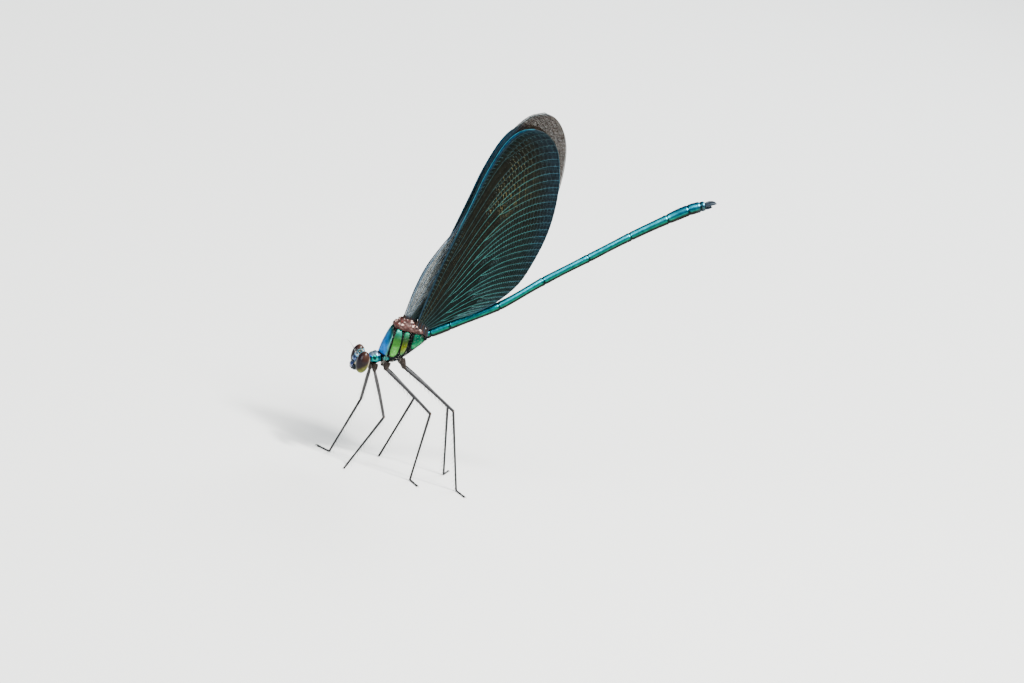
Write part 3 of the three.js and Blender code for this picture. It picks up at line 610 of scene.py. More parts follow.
paints = [front_colour, side_green, olive, rear_green]
colour = np.zeros(way.shape + (3,))
for i, paint in enumerate(paints):
    colour[panel == i] = paint[panel == i]
DARK_SIDES = ((-0.3, 0.1), (0.11, 0.08), (0.12, 0.26), (0.14, 0.18))
PANEL_ENDS = ((-3.0, 3.0), (-0.55, 0.86), (-0.5, 0.82), (-0.55, 0.8))
PANEL_ROUND = (6.0, 2.6, 2.8, 3.0)
FRONT_PANEL_FOOT = (18.22, 18.4)
LOWER_PLATE = ((-2.55, 17.75), (0.5, 0.36))
sides = np.array(DARK_SIDES)[panel]
reach = np.array(PANEL_ENDS)[panel]
power = np.array(PANEL_ROUND)[panel][:, None]
u = (across_panel - (1 + sides[:, 0] - sides[:, 1]) / 2) / ((1 - sides.sum(axis=1)) / 2)
v = (tall - reach.mean(axis=1)[:, None]) / ((reach[:, 1] - reach[:, 0]) / 2)[:, None]
v = np.where((panel == 0)[:, None], 0, v)
oval = (np.abs(u)[:, None] ** power + np.abs(v) ** power) ** (1 / power)
colour = mix(SEAM_BLACK, colour, smooth_step(1.05, 0.93, oval))
below_front = smooth_step(FRONT_PANEL_FOOT[1], FRONT_PANEL_FOOT[0], thorax_rings[:, :, 2])
colour = mix(colour, SEAM_BLACK, below_front * (panel == 0)[:, None])
plate_middle, plate_size = LOWER_PLATE
plate = ((thorax_rings[:, :, 0] - plate_middle[0]) / plate_size[0]) ** 2
plate += ((thorax_rings[:, :, 2] - plate_middle[1]) / plate_size[1]) ** 2
colour = mix(colour, PLATE_TEAL, smooth_step(1.1, 0.7, plate))
colour = mix(colour, BLACK, np.clip(keel[None, :] * smooth_step(0.34, 0.28, way) * 0.9, 0, 1))
colour = mix(colour, BELLY_BROWN, 0.7 * smooth_step(-0.88, -0.97, tall))

thorax = Shell()
thorax.add_rings(thorax_rings, colour)
thorax.make("thorax_skin", METAL_SHELL, "thorax_shell", ["pterothorax"])

# %% [markdown]
# The collar joins the head to the thorax. It is a short barrel with a raised middle lobe and narrow
# necks, so its radius along the way is a list of a few widths with a smooth curve through them. It runs
# into the thorax behind and into the head in front, which closes the gaps.

# %% Collar
COLLAR_START = np.array([-5.3, 0, 16.78])
COLLAR_END = np.array([-2.75, 0, 17.55])
COLLAR_RINGS = np.array([
    (0, 0.42, 0.45), (0.16, 0.44, 0.47), (0.24, 0.58, 0.62), (0.31, 0.76, 0.88), (0.4, 0.86, 1.0),
    (0.47, 0.86, 1.02), (0.56, 0.97, 1.1), (0.66, 1.0, 1.12), (0.76, 0.9, 1.04), (0.84, 0.84, 1.0),
    (0.92, 0.74, 0.95), (1, 0.6, 0.85),
])
COLLAR_ROWS = 60
KNOT_STRETCH = 3
collar_t = np.linspace(0, 1, COLLAR_ROWS)
collar_path = COLLAR_START + (COLLAR_END - COLLAR_START) * collar_t[:, None]
knots = np.column_stack([COLLAR_RINGS[:, 0] * KNOT_STRETCH, COLLAR_RINGS[:, 1], COLLAR_RINGS[:, 2]])
collar_fine = spline(knots, np.linspace(0, 1, 200))
collar_high = np.interp(collar_t * KNOT_STRETCH, collar_fine[:, 0], collar_fine[:, 1])
collar_wide = np.interp(collar_t * KNOT_STRETCH, collar_fine[:, 0], collar_fine[:, 2])
collar_rings = tube(collar_path, collar_wide, collar_high, 48)
collar_rise = (collar_rings[:, :, 2] - collar_path[:, None, 2]) / collar_high[:, None]
collar_side = (collar_rings[:, :, 1] - collar_path[:, None, 1]) / collar_wide[:, None]
print("collar", round(float(collar_high.max() * 2), 2), "mm high")

# %% [markdown]
# The collar is teal below and pale blue above; its palest top is partly a pale bloom and partly a painted
# highlight. Each side has a bright green disc whose dark middle is the painted shade of a small pit. The
# disc is measured by the way along the collar and the height on it, so it lies flat on the curved side.

# %% Collar paint
COLLAR_TEAL = np.array([0.0, 0.1, 0.12])
COLLAR_BLUE = np.array([0.02, 0.13, 0.3])
COLLAR_BLOOM_AND_HIGHLIGHT = np.array([0.4, 0.52, 0.6])
DISC_GREEN = np.array([0.0, 0.26, 0.22])
PAINTED_PIT_SHADE = np.array([0.002, 0.02, 0.02])
DISC_AT, DISC_RISE = 0.5, 0.1
DISC_LONG, DISC_TALL = 0.2, 0.62
DARK_RINGS = (0.2, 0.78)
way = collar_t[:, None] + 0 * collar_rise
collar_colour = mix(COLLAR_TEAL, COLLAR_BLUE, smooth_step(0.1, 0.6, collar_rise))
# Pale top: partly a pale bloom on the shell, partly a painted highlight.
collar_colour = mix(collar_colour, COLLAR_BLOOM_AND_HIGHLIGHT, 0.7 * smooth_step(0.4, 0.8, collar_rise))
disc = np.hypot((way - DISC_AT) / DISC_LONG, (collar_rise - DISC_RISE) / DISC_TALL)
disc = disc + (np.abs(collar_side) < 0.3)
collar_colour = mix(collar_colour, DISC_GREEN, smooth_step(1.0, 0.8, disc))
# Painted shade: the middle of each disc is darkened as the shade in a small pit.
collar_colour = mix(collar_colour, PAINTED_PIT_SHADE, smooth_step(0.55, 0.4, disc))
for dark_ring in DARK_RINGS:
    collar_colour = mix(collar_colour, BLUE_BLACK, 0.85 * np.exp(-(((way - dark_ring) / 0.03) ** 2)))
collar_colour = mix(collar_colour, BROWN, smooth_step(-0.5, -0.75, collar_rise))
collar_colour = mix(collar_colour, BROWN, smooth_step(0.14, 0.06, way))

collar = Shell()
collar.add_rings(collar_rings, collar_colour)
collar.make("collar", METAL_SHELL, "collar_shell", ["prothorax"])

# %% [markdown]
# The head is short and wide, with a big oval eye at each end. Between them are a flat forehead with three
# simple eyes, two feelers, a bulging face plate, and the jaws below. Each of these is a ball of its own
# size sunk into the head capsule, as the plates of a real head meet in creases. The capsule itself is one
# profile, drawn in towards the cheeks.

# %% Head
HEAD_PROFILE = [
    (-5.85, 17.85), (-6.5, 17.4), (-6.8, 16.75), (-6.95, 16.1), (-6.85, 15.4),
    (-6.7, 14.85), (-6.0, 14.65), (-5.35, 15.2), (-5.1, 16.4), (-5.35, 17.5),
]
HEAD_CENTRE = np.array([-6.1, 0, 16.5])
HEAD_HALF_WIDTH = 2.1
EYE_RADII = (1.04, 0.98, 1.76)
HEAD_AROUND = 72
HEAD_ROWS = 64
HEAD_DARK = np.array([0.008, 0.03, 0.05])
PAINTED_HEAD_HIGHLIGHT = np.array([0.16, 0.4, 0.46])
HEAD_BACK_BLUE = np.array([0.03, 0.1, 0.4])

around = np.arange(HEAD_AROUND) / HEAD_AROUND
outline = spline(side(HEAD_PROFILE), around, closed=True) - HEAD_CENTRE
across = np.sin(np.linspace(-0.5, 0.5, HEAD_ROWS) * np.pi * 0.985)
shrink = np.sqrt(np.maximum(1 - np.abs(across) ** 3, 0.0004))
head_rings = HEAD_CENTRE + outline[None, :, :] * shrink[:, None, None]
head_rings[:, :, 1] += (across * HEAD_HALF_WIDTH)[:, None]
hx, hy, hz = (head_rings[:, :, k] for k in range(3))
# Painted highlight: the head turns pale cyan towards its top.
head_colour = mix(HEAD_DARK, PAINTED_HEAD_HIGHLIGHT, smooth_step(16.9, 17.6, hz))
dark_spot = np.exp(-(((hx + 6.35) / 0.35) ** 2 + ((np.abs(hy) - 0.25) / 0.3) ** 2)) * (hz > 17.2)
head_colour = mix(head_colour, BLACK, np.clip(dark_spot * 1.2, 0, 1))
blue_back = np.exp(-(((hx + 5.45) / 0.3) ** 2)) * (hz > 16.8)
head_colour = mix(head_colour, HEAD_BACK_BLUE, np.clip(blue_back, 0, 1))
head_colour = mix(head_colour, BROWN, smooth_step(15.4, 15.0, hz))

head = Shell()
head.add_rings(head_rings, head_colour)
print("head capsule", round(float(np.ptp(head_rings[:, :, 2])), 2), "mm high")

# %% [markdown]
# The plates of the face stand in one table: the middle of each, its half sizes, its colour, and whether
# it comes in a pair. A table is easier to adjust than a chain of calls, because a plate can be moved by
# one number. All of them join the capsule in one mesh.

# %% Face plates
FACE_BLUE = np.array([0.07, 0.1, 0.22])
FACE_PLATES = [
    ("forehead ledge", (-6.55, 0, 16.98), (0.4, 0.98, 0.38), np.array([0.12, 0.26, 0.38]), False),
    ("face plate", (-6.8, 0, 16.38), (0.4, 0.82, 0.42), FACE_BLUE, False),
    ("lip root", (-6.88, 0, 15.84), (0.3, 0.7, 0.2), np.array([0.03, 0.04, 0.08]), False),
    ("cheek", (-6.62, 1.05, 15.95), (0.3, 0.26, 0.45), CREAM, True),
    ("jaw", (-6.72, 0.86, 15.2), (0.42, 0.4, 0.5), BLACK * 2, True),
    ("jaw spot", (-6.9, 0.95, 15.25), (0.17, 0.2, 0.2), CREAM, True),
    ("jaw tip", (-6.92, 0.42, 14.86), (0.26, 0.26, 0.2), BROWN, True),
    ("lower lip", (-6.35, 0, 14.8), (0.62, 0.72, 0.24), BROWN * 1.2, False),
    ("feeler socket", (-6.75, 0.6, 17.15), (0.17, 0.19, 0.19), np.array([0.35, 0.3, 0.28]), True),
    ("crown bump", (-5.72, 0.75, 17.62), (0.34, 0.5, 0.3), np.array([0.03, 0.15, 0.2]), True),
]
for _, centre, size, paint, paired in FACE_PLATES:
    for hand in (-1, 1) if paired else (1,):
        head.add_rings(ball((centre[0], centre[1] * hand, centre[2]), size), paint)
head.make("head_capsule", HEAD_SHELL, "head_shell", ["head"])

# %% [markdown]
# The upper lip is one glossy plate over the jaws, with a shallow notch in the middle of its lower rim. It
# is a ball whose lowest points are lifted near the middle plane. The three simple eyes are small pale
# lenses on the crown. A ball of few faces is enough for something a quarter of a millimetre wide.

# %% Upper lip and simple eyes
LIP_BLUE = np.array([0.016, 0.028, 0.09])
LENS_AMBER = np.array([0.28, 0.2, 0.12])
NOTCH_DEPTH = 0.1
LABRUM_CENTRE = (-6.98, 0, 15.3)
LABRUM_RADII = (0.4, 0.8, 0.5)
lip = Shell()
lip_rings = ball(LABRUM_CENTRE, LABRUM_RADII, 28, 36, tilt=0.15)
notch = np.exp(-((lip_rings[:, :, 1] / 0.2) ** 2)) * (lip_rings[:, :, 2] < 15.2)
lip_rings[:, :, 2] += NOTCH_DEPTH * notch
lip.add_rings(lip_rings, LIP_BLUE)
lip.make("upper_lip", BLACK_GLOSS, "mouth_lip", ["labrum"])

OCELLI = [(-6.38, 0, 17.5), (-6.0, 0.33, 17.8), (-6.0, -0.33, 17.8)]
simple_eyes = Shell()
for centre in OCELLI:
    simple_eyes.add_rings(ball(centre, (0.12, 0.12, 0.11), 12, 16), LENS_AMBER)
simple_eyes.make("simple_eyes", BLACK_GLOSS, "compound_eye")

# %% [markdown]
# A compound eye is thousands of tiny lenses under a glossy surface. The lenses are far too small to model
# one by one, so cells from a Voronoi pattern are pressed in as bump, and the colour comes from paint:
# brown above, then dark, fading through bronze to olive green below, as the photo shows.

# %% Compound eyes
LENSES_PER_MM = 24
LENS_RELIEF = 0.12
LENS_DEPTH = 0.01
EYE_COAT_ROUGHNESS = 0.2
EYE_DARK = np.array([0.006, 0.003, 0.003])
EYE_BROWN = np.array([0.03, 0.014, 0.01])
EYE_BRONZE = np.array([0.035, 0.02, 0.006])
EYE_OLIVE = np.array([0.085, 0.1, 0.012])
EYE_VIOLET = np.array([0.003, 0.0015, 0.006])
EYE_RIM = np.array([0.3, 0.26, 0.2])


def eye_material():
    """A glossy shell with pressed-in cells in place of its grain."""
    material = shell_material(
        "compound_eye", 0.0, (0.25, 0.4), grain=20, relief=0.05, mottle=0.3, coat=0.16, shine=0.06,
    )
    nodes, links = material.node_tree.nodes, material.node_tree.links
    nodes["Principled BSDF"].inputs["Coat Roughness"].default_value = EYE_COAT_ROUGHNESS
    place = nodes.new("ShaderNodeTexCoord")
    lenses = nodes.new("ShaderNodeTexVoronoi")
    lenses.inputs["Scale"].default_value = LENSES_PER_MM * PER_MM
    links.new(place.outputs["Object"], lenses.inputs["Vector"])
    bump = nodes.new("ShaderNodeBump")
    bump.inputs["Strength"].default_value = LENS_RELIEF
    bump.inputs["Distance"].default_value = LENS_DEPTH * MM
    links.new(lenses.outputs["Distance"], bump.inputs["Height"])
    links.new(bump.outputs["Normal"], nodes["Principled BSDF"].inputs["Normal"])
    return material


COMPOUND_EYE = eye_material()
for name, hand in (("left", -1), ("right", 1)):
    centre = LEFT_EYE_CENTRE * np.array([1, -hand, 1])
    rings = ball(centre, EYE_RADII, 60, 80)
    lift = (rings[:, :, 2] - centre[2]) / EYE_RADII[2]
    fore = (rings[:, :, 0] - centre[0]) / EYE_RADII[0]
    olive_share = smooth_step(0.0, 0.7, -0.95 * lift + 0.5 * fore - 0.12)
    brown = mix(EYE_DARK, EYE_BROWN, smooth_step(-0.1, 0.8, lift))
    bronze = mix(brown, EYE_BRONZE, smooth_step(0.0, 0.4, olive_share))
    paint = mix(bronze, EYE_OLIVE, olive_share)
    violet_front = 0.8 * smooth_step(0.1, 0.8, -fore) * smooth_step(-0.9, -0.2, lift)
    paint = mix(paint, EYE_VIOLET, violet_front)
    rim = smooth_step(0.55, 0.95, fore) * smooth_step(-0.6, 0.0, lift) * smooth_step(0.75, 0.4, lift)
    paint = mix(paint, EYE_RIM, 0.75 * rim)
    eye = Shell()
    eye.add_rings(rings, paint)
    eye.make(f"eye_ball_{name}", COMPOUND_EYE, "compound_eye", [f"eye_{name}"])

# %% [markdown]
# The feelers are short bristles: two thick joints, then a thread. They are tubes whose radius drops in
# steps.

# %% Feelers
ANTENNA_ROOT = np.array([-6.83, 0.62, 17.25])
ANTENNA_REACH = np.array([-1.5, 1.0, 1.3])
FEELER_SHARES = np.array([-0.12, 0.0, 0.1, 0.115, 0.25, 0.27, 0.6, 1.0])
FEELER_RADII = np.array([0.13, 0.14, 0.13, 0.1, 0.09, 0.04, 0.028, 0.012])
FEELER_BOW = 0.18
feelers = Shell()
for hand in (-1, 1):
    flip = np.array([1, hand, 1])
    fine = np.linspace(FEELER_SHARES[0], 1, 60)
    bow = np.array([0, 0, FEELER_BOW]) * np.sin(np.clip(fine, 0, 1) * np.pi)[:, None]
    path = ANTENNA_ROOT * flip + ANTENNA_REACH * flip * fine[:, None] + bow
    feelers.add_rings(tube(path, np.interp(fine, FEELER_SHARES, FEELER_RADII), sides=12), BLACK * 2)
feelers.make("feelers", BLACK_GLOSS, "feeler", ["antenna_left", "antenna_right"])

# %% [markdown]
# Each leg has five lengths that a reader can name: hip, thigh, shin, foot and claws. One tube would bend
# too softly at the joints, so every length is its own tapered tube, sunk into a small ball at the joint.
# The feet lie flat on the floor. Long bristles in two rows come later, with the other hairs.

# %% Legs
LEGS = {
    "front_left": ((-3.6, -0.5, 16.3), (-3.5, -0.8, 15.35), (-0.4, -2.6, 8.8), (-3.8, -2.35), (-4.8, -4.7)),
    "front_right": ((-3.6, 0.5, 16.3), (-3.8, 0.8, 15.2), (-3.1, 2.9, 9.4), (-5.6, 2.7), (-7.2, 4.7)),
    "middle_left": (
        (-1.75, -0.75, 17.0), (-1.95, -1.1, 16.05), (6.1, -4.2, 11.35), (6.3, -3.4), (6.9, -6.1),
    ),
    "middle_right": ((-1.75, 0.75, 17.0), (-1.95, 1.1, 16.05), (5.55, 4.3, 11.0), (3.45, 6.3), (4.4, 8.8)),
    "hind_left": ((0.2, -0.85, 18.1), (0.75, -1.25, 16.95), (9.6, -4.0, 12.5), (13.8, -3.9), (14.6, -6.6)),
    "hind_right": ((0.2, 0.85, 18.1), (0.75, 1.25, 16.95), (10.8, 3.2, 11.1), (13.5, 3.6), (14.9, 6.1)),
}
FOOT_AXIS = 0.17
THIGH_RADII = (0.24, 0.28, 0.26, 0.24, 0.23)
SHIN_RADII = (0.2, 0.19, 0.17, 0.16, 0.17)
LEG_BLACK = np.array([0.018, 0.0185, 0.02])
THIGH_GREY = np.array([0.04, 0.039, 0.04])
HIP_BROWN = np.array([0.012, 0.008, 0.006])
KNEE_PALE = np.array([0.12, 0.08, 0.06])


def limb(shell, start, end, radii, paint, rows=26, sides=16, bow=0.0):
    """A tapered length of leg with a slight bow."""
    share = np.linspace(0, 1, rows)
    path = start + (end - start) * share[:, None]
    path[:, 2] += bow * np.sin(share * np.pi)
    thick = np.interp(share, np.linspace(0, 1, len(radii)), radii)
    shell.add_rings(tube(path, thick, sides=sides), paint)


print(len(LEGS), "legs")

# %% [markdown]
# One loop builds all six legs from the table of joints. The hip is a separate dull piece, because it
# belongs to the body; thigh, shin, foot and claws are one piece, so that no gap shows at the knee. The
# foot has three small lengths and ends in two claws that curve down to the floor.

# %% Six legs
HIP_RADII = (0.5, 0.52, 0.47, 0.36)
THIGH_BOW = 0.12
TOE_LENGTHS = ((0.0, 0.2), (0.19, 0.5), (0.49, 0.95))
TOE_RADII = (0.1, 0.13, 0.165)
CLAW_SPREAD = 0.16
leg_lines = {}
for name, (coxa, hip, knee, ankle, toe) in LEGS.items():
    coxa, hip, knee = np.array(coxa), np.array(hip), np.array(knee)
    heel = np.array([*ankle, FOOT_AXIS + 0.06])
    toe = np.array([*toe, FOOT_AXIS])
    hips = Shell()
    limb(hips, coxa, hip, HIP_RADII, HIP_BROWN, sides=24)
    hips.add_rings(ball(hip, (0.32, 0.3, 0.33)), HIP_BROWN * 0.8)
    first = hip + (knee - hip) * 0.045
    limb(hips, hip, first, (0.26, 0.24), HIP_BROWN, rows=6)
    hips.make(f"hip_{name}", DULL_SHELL, "hip_shell", [f"coxa_{name}"])

    leg = Shell()
    pale = THIGH_GREY if name.startswith("front") else LEG_BLACK
    limb(leg, first - (knee - hip) * 0.012, knee, THIGH_RADII, pale, rows=40, bow=THIGH_BOW)
    leg.add_rings(ball(knee, (0.22, 0.2, 0.22)), KNEE_PALE)
    limb(leg, knee, heel, SHIN_RADII, LEG_BLACK, rows=40)
    leg.add_rings(ball(heel, (0.17, 0.17, 0.17)), LEG_BLACK)
    for low, high in TOE_LENGTHS:
        a, b = heel + (toe - heel) * low, heel + (toe - heel) * high
        a[2] = b[2] = FOOT_AXIS
        limb(leg, a, b, TOE_RADII, LEG_BLACK, rows=12)
    forward = (toe - heel) / np.linalg.norm(toe - heel)
    for hand in (-1, 1):
        aside = np.cross(forward, [0, 0, 1]) * hand * CLAW_SPREAD
        claw = np.array([
            toe - forward * 0.2, toe + aside * 0.7 + forward * 0.12 + [0, 0, 0.05],
            toe + aside * 1.3 + forward * 0.22 - [0, 0, 0.14],
        ])
        fine = spline(claw, np.linspace(0, 1, 12))
        leg.add_rings(tube(fine, np.linspace(0.07, 0.012, 12), sides=10), LEG_BLACK * 0.6)
    leg.make(f"leg_{name}", LEG_SHELL, "leg_shell", [f"femur_{name}", f"tibia_{name}", f"tarsus_{name}"])
    leg_lines[name] = (first, knee, heel, toe)

# %% [markdown]
# Between the thorax and the wings lies a hump of many small plates and folds, where the flight muscles
# pull on the wing roots. It is a soft dark maroon skin, and cream and dark plates are scattered over it
# in the next step. The section is the same rounded box as in the thorax, with sines for the folds.

# %% Wing base
HUMP_CREST = [(-2.45, 23.1), (-1.25, 24.2), (0.5, 24.15), (2.0, 23.45), (2.6, 22.95)]
HUMP_FOOT = [(-2.3, 22.6), (-1.2, 22.4), (0.5, 22.4), (1.8, 22.5), (2.4, 22.7)]
HUMP_HALF_WIDTH = 1.62
HUMP_ROWS = 80
HUMP_AROUND = 72
PLATE_COUNT = 240
HIND_ROOT_Y = 1.26
FORE_ROOT_Y = 0.36
STALK_COUNT = 8
rng = np.random.default_rng(5)
t = np.linspace(0, 1, HUMP_ROWS)
top = spline(side(HUMP_CREST), t)
foot = spline(side(HUMP_FOOT), t)
angles, height, spread = rounded_section(HUMP_AROUND)
width = HUMP_HALF_WIDTH * (0.55 + 0.45 * np.sin(np.pi * t) ** 0.5)
middle, half = (top + foot) / 2, (top - foot) / 2
hump_rings = middle[:, None, :] + half[:, None, :] * height[None, :, None]
folds = 0.1 * np.sin(t * 47)[:, None] * np.sin(angles * 11 + 2)[None, :]
narrowed = width[:, None] * (1 - SECTION_NARROWING * height[None, :])
hump_rings[:, :, 1] += (narrowed + folds) * spread[None, :]
MAROON = np.array([0.03, 0.007, 0.006])
PINK_CREAM = np.array([0.5, 0.34, 0.3])
patches = np.sin(t * 23)[:, None] * np.sin(angles * 5)[None, :]
hump = Shell()
hump.add_rings(hump_rings, mix(MAROON, PINK_CREAM, 0.05 + 0.05 * patches))
print("hump", round(float(np.ptp(hump_rings[:, :, 1])), 2), "mm wide")

# %% [markdown]
# The plates of the hump are flat balls, sunk into the skin at points drawn by chance. Size, tilt and
# colour are drawn too, in one order, which is what keeps every run the same.

# %% Plates of the hump
PLATE_SIZES = (0.06, 0.17)
PLATE_PAINTS = (PINK_CREAM, PINK_CREAM, MAROON * 3, BROWN, BLACK * 3, MAROON, BROWN)
for _ in range(PLATE_COUNT):
    row, turn_at = rng.integers(4, HUMP_ROWS - 4), rng.integers(2, HUMP_AROUND // 2 - 1)
    hand = rng.choice([0, 1])
    column = turn_at if hand else (HUMP_AROUND // 2 - turn_at) % HUMP_AROUND
    size = rng.uniform(*PLATE_SIZES)
    shape = (size * rng.uniform(0.8, 1.5), size * 0.6, size * rng.uniform(0.6, 1.2))
    paint = PLATE_PAINTS[rng.integers(0, len(PLATE_PAINTS))]
    hump.add_rings(ball(hump_rings[row, column], shape, 9, 12, rng.uniform(-1, 1)), paint)
print(PLATE_COUNT, "plates on the hump")

# %% [markdown]
# Each wing is held by a row of short stalks, the thick ends of its veins. A stalk starts inside the hump
# and narrows into the root of the wing, which closes the gap that the solids keep there.

# %% Stalks of the wings
STALK_SHARES = (0, 0.35, 0.7, 1)
STALK_RADII = (0.26, 0.16, 0.11, 0.04)
STALK_PAINTS = (BROWN, BLACK * 3, BROWN * 0.6, BLACK * 3)
stalk_steps = np.linspace(0, 1, 14)
WING_ROOTS = ((HIND_ROOT_Y, (0.75, 24.45), (2.75, 23.6)), (FORE_ROOT_Y, (-1.1, 24.56), (0.6, 24.4)))
for level, lead_root, rear_root in WING_ROOTS:
    for hand in (-1, 1):
        for k, share in enumerate(np.linspace(0, 1, STALK_COUNT)):
            x = lead_root[0] * (1 - share) + rear_root[0] * share
            z = lead_root[1] * (1 - share) + rear_root[1] * share
            stalk = spline([
                (x + 0.05, level * hand * 0.95, z - 1.15), (x - 0.03, level * hand, z - 0.45),
                (x + 0.02, level * hand, z), (x + 0.08, level * hand, z + 0.3),
            ], stalk_steps)
            thick = np.interp(stalk_steps, STALK_SHARES, STALK_RADII)
            hump.add_rings(tube(stalk, thick * 0.8, thick, 10), STALK_PAINTS[k % 4])
hump.make("wing_base_skin", DULL_SHELL, "wing_base_plates", ["wing_base"])

# %% [markdown]
# A wing is a film of a few hundredths of a millimetre, stiffened by veins. The surface is a fan: every
# point has a share from root to margin and a share from the leading edge to the rear edge. Lines of one
# fan share are the long veins. New long veins start between the old ones as the fan widens, and short
# cross veins make a ladder between them. So the net follows from the fan, with no vein drawn by hand.

# %% Wing surface
HIND_WING = {
    "lead": [
        (0.75, 24.45), (1.3, 29.8), (1.85, 34.2), (2.8, 39.7), (3.8, 45.8), (4.3, 49.0), (5.1, 52.3),
        (5.85, 54.6), (6.9, 56.5), (8.22, 57.65), (9.74, 58.15),
    ],
    "margin": [
        (9.74, 58.15), (11.5, 57.95), (13.2, 56.95), (14.4, 55.5), (15.5, 52.9), (16.35, 49.6),
        (16.75, 45.6), (16.6, 41.8), (15.85, 37.8), (14.8, 34.3), (13.4, 31.9), (11.5, 29.7), (8.8, 27.5),
    ],
    "rear": [(2.75, 23.6), (5.9, 25.8), (8.8, 27.5)],
}
FORE_WING = {
    "lead": [
        (-1.1, 24.56), (-0.69, 29.3), (0.07, 33.05), (1.4, 36.5), (2.85, 39.8), (3.55, 42.6), (4.1, 46.0),
        (4.65, 50.2), (5.7, 54.3), (7.4, 57.7), (9.0, 59.7), (11.05, 60.7),
    ],
    "margin": [
        (11.05, 60.7), (13.1, 60.15), (14.75, 58.45), (15.8, 56.3), (16.35, 54.0), (16.65, 51.2),
        (16.65, 47.6), (16.1, 42.5), (14.6, 37.0), (12.2, 32.6), (9.5, 29.5), (6.6, 27.3),
    ],
    "rear": [(0.6, 24.4), (3.4, 25.9), (6.6, 27.3)],
}
VEIN_ROOT_LEAD = np.array([0.1, 0, 1])
VEIN_ROOT_REAR = np.array([0.8, 0, 0.6])
VEIN_AT_MARGIN = np.array([1, 0, 0.16])
VEIN_ROOT_SHARE = 0.4
VEIN_MARGIN_SHARE = 0.4
EDGE_PULL = 4
PLEATS = 32
PLEAT = 0.03
FILM_HALF = 0.012


def unit(vector):
    """The same direction at length 1."""
    return np.asarray(vector, float) / np.linalg.norm(vector)


def plain_vein(outline, reach, fan):
    """A cubic curve from the root to the margin for each pair of reach and fan."""
    lead, rear = side(outline["lead"]), side(outline["rear"])
    root = lead[0] * (1 - fan)[:, None] + rear[0] * fan[:, None]
    end = even_spline(side(outline["margin"]), fan)
    length = np.linalg.norm(end - root, axis=1)[:, None]
    lift = unit(VEIN_ROOT_LEAD) * (1 - fan)[:, None] + unit(VEIN_ROOT_REAR) * fan[:, None]
    first = root + lift * length * VEIN_ROOT_SHARE
    second = end - unit(VEIN_AT_MARGIN) * length * VEIN_MARGIN_SHARE
    r = reach[:, None]
    return root * (1 - r) ** 3 + 3 * first * r * (1 - r) ** 2 + 3 * second * r**2 * (1 - r) + end * r**3


def wing_points(outline, reach, fan, level):
    """Points of the wing for arrays of reach and fan of one shape, on the plane y = level."""
    reach, fan = np.broadcast_arrays(np.asarray(reach, float), np.asarray(fan, float))
    shape = reach.shape
    reach, fan = reach.ravel(), fan.ravel()
    zeros = np.zeros_like(fan)
    to_lead = even_spline(side(outline["lead"]), reach) - plain_vein(outline, reach, zeros)
    to_rear = even_spline(side(outline["rear"]), reach) - plain_vein(outline, reach, zeros + 1)
    points = plain_vein(outline, reach, fan)
    points += to_lead * ((1 - fan) ** EDGE_PULL)[:, None] + to_rear * (fan**EDGE_PULL)[:, None]
    points[:, 1] = level + PLEAT * np.cos(fan * PLEATS * 2 * np.pi) * np.minimum(reach * 3, 1)
    return points.reshape(*shape, 3)


print("a hind wing reaches up to", HIND_WING["lead"][-1][1], "mm above the floor")

# %% [markdown]
# The net of veins holds the film open. Long veins are lines of one fan share. Where two of them drift
# apart by more than a set room, a finer one forks off in between, so a list of levels with a room for
# each gives the whole net. The veins are thin prisms, and one function builds thousands of them at once,
# because a loop that makes them one by one would take most of the script's time.

# %% Vein net
VEIN_LEVELS = ((8, 0.0, 0.055), (16, 1.2, 0.05), (32, 1.45, 0.046), (64, 1.35, 0.022))
COSTA_RADIUS = 0.055
MARGIN_RADIUS = 0.04
CROSS_SPACING = 0.34
CROSS_RADIUS = 0.02
BAND_VEINS = ((0.011, 0.04), (0.024, 0.045))
FORK_REACH = 0.06
FORK_STEPS = 60


def long_veins(outline):
    """Fan share, first reach, radius and step to the neighbour of each long vein.

    A finer vein starts where its neighbours leave it room.
    """
    steps = np.linspace(0.1, 0.9, FORK_STEPS)
    veins = {}
    for count, room, radius in VEIN_LEVELS:
        for k in range(count + 1):
            fan = k / count
            if fan in veins:
                continue
            start = 0.0
            if room > 0.5:
                low = wing_points(outline, steps, np.full(FORK_STEPS, fan - 1 / count), 0.0)
                high = wing_points(outline, steps, np.full(FORK_STEPS, fan + 1 / count), 0.0)
                gap = np.linalg.norm(high - low, axis=1)
                wide = np.nonzero(gap > room * (1 + 0.15 * math.sin(k * 2.4)))[0]
                start = steps[wide[0]] if len(wide) else 0.9
            veins[fan] = (fan, start, radius, 1 / count)
    for fan, radius in BAND_VEINS:
        veins[fan] = (fan, 0.0, radius, 0.0)
    return sorted(veins.values())


LONG_VEINS = {"hind": long_veins(HIND_WING), "fore": long_veins(FORE_WING)}
print(len(LONG_VEINS["hind"]), "long veins in a hind wing")


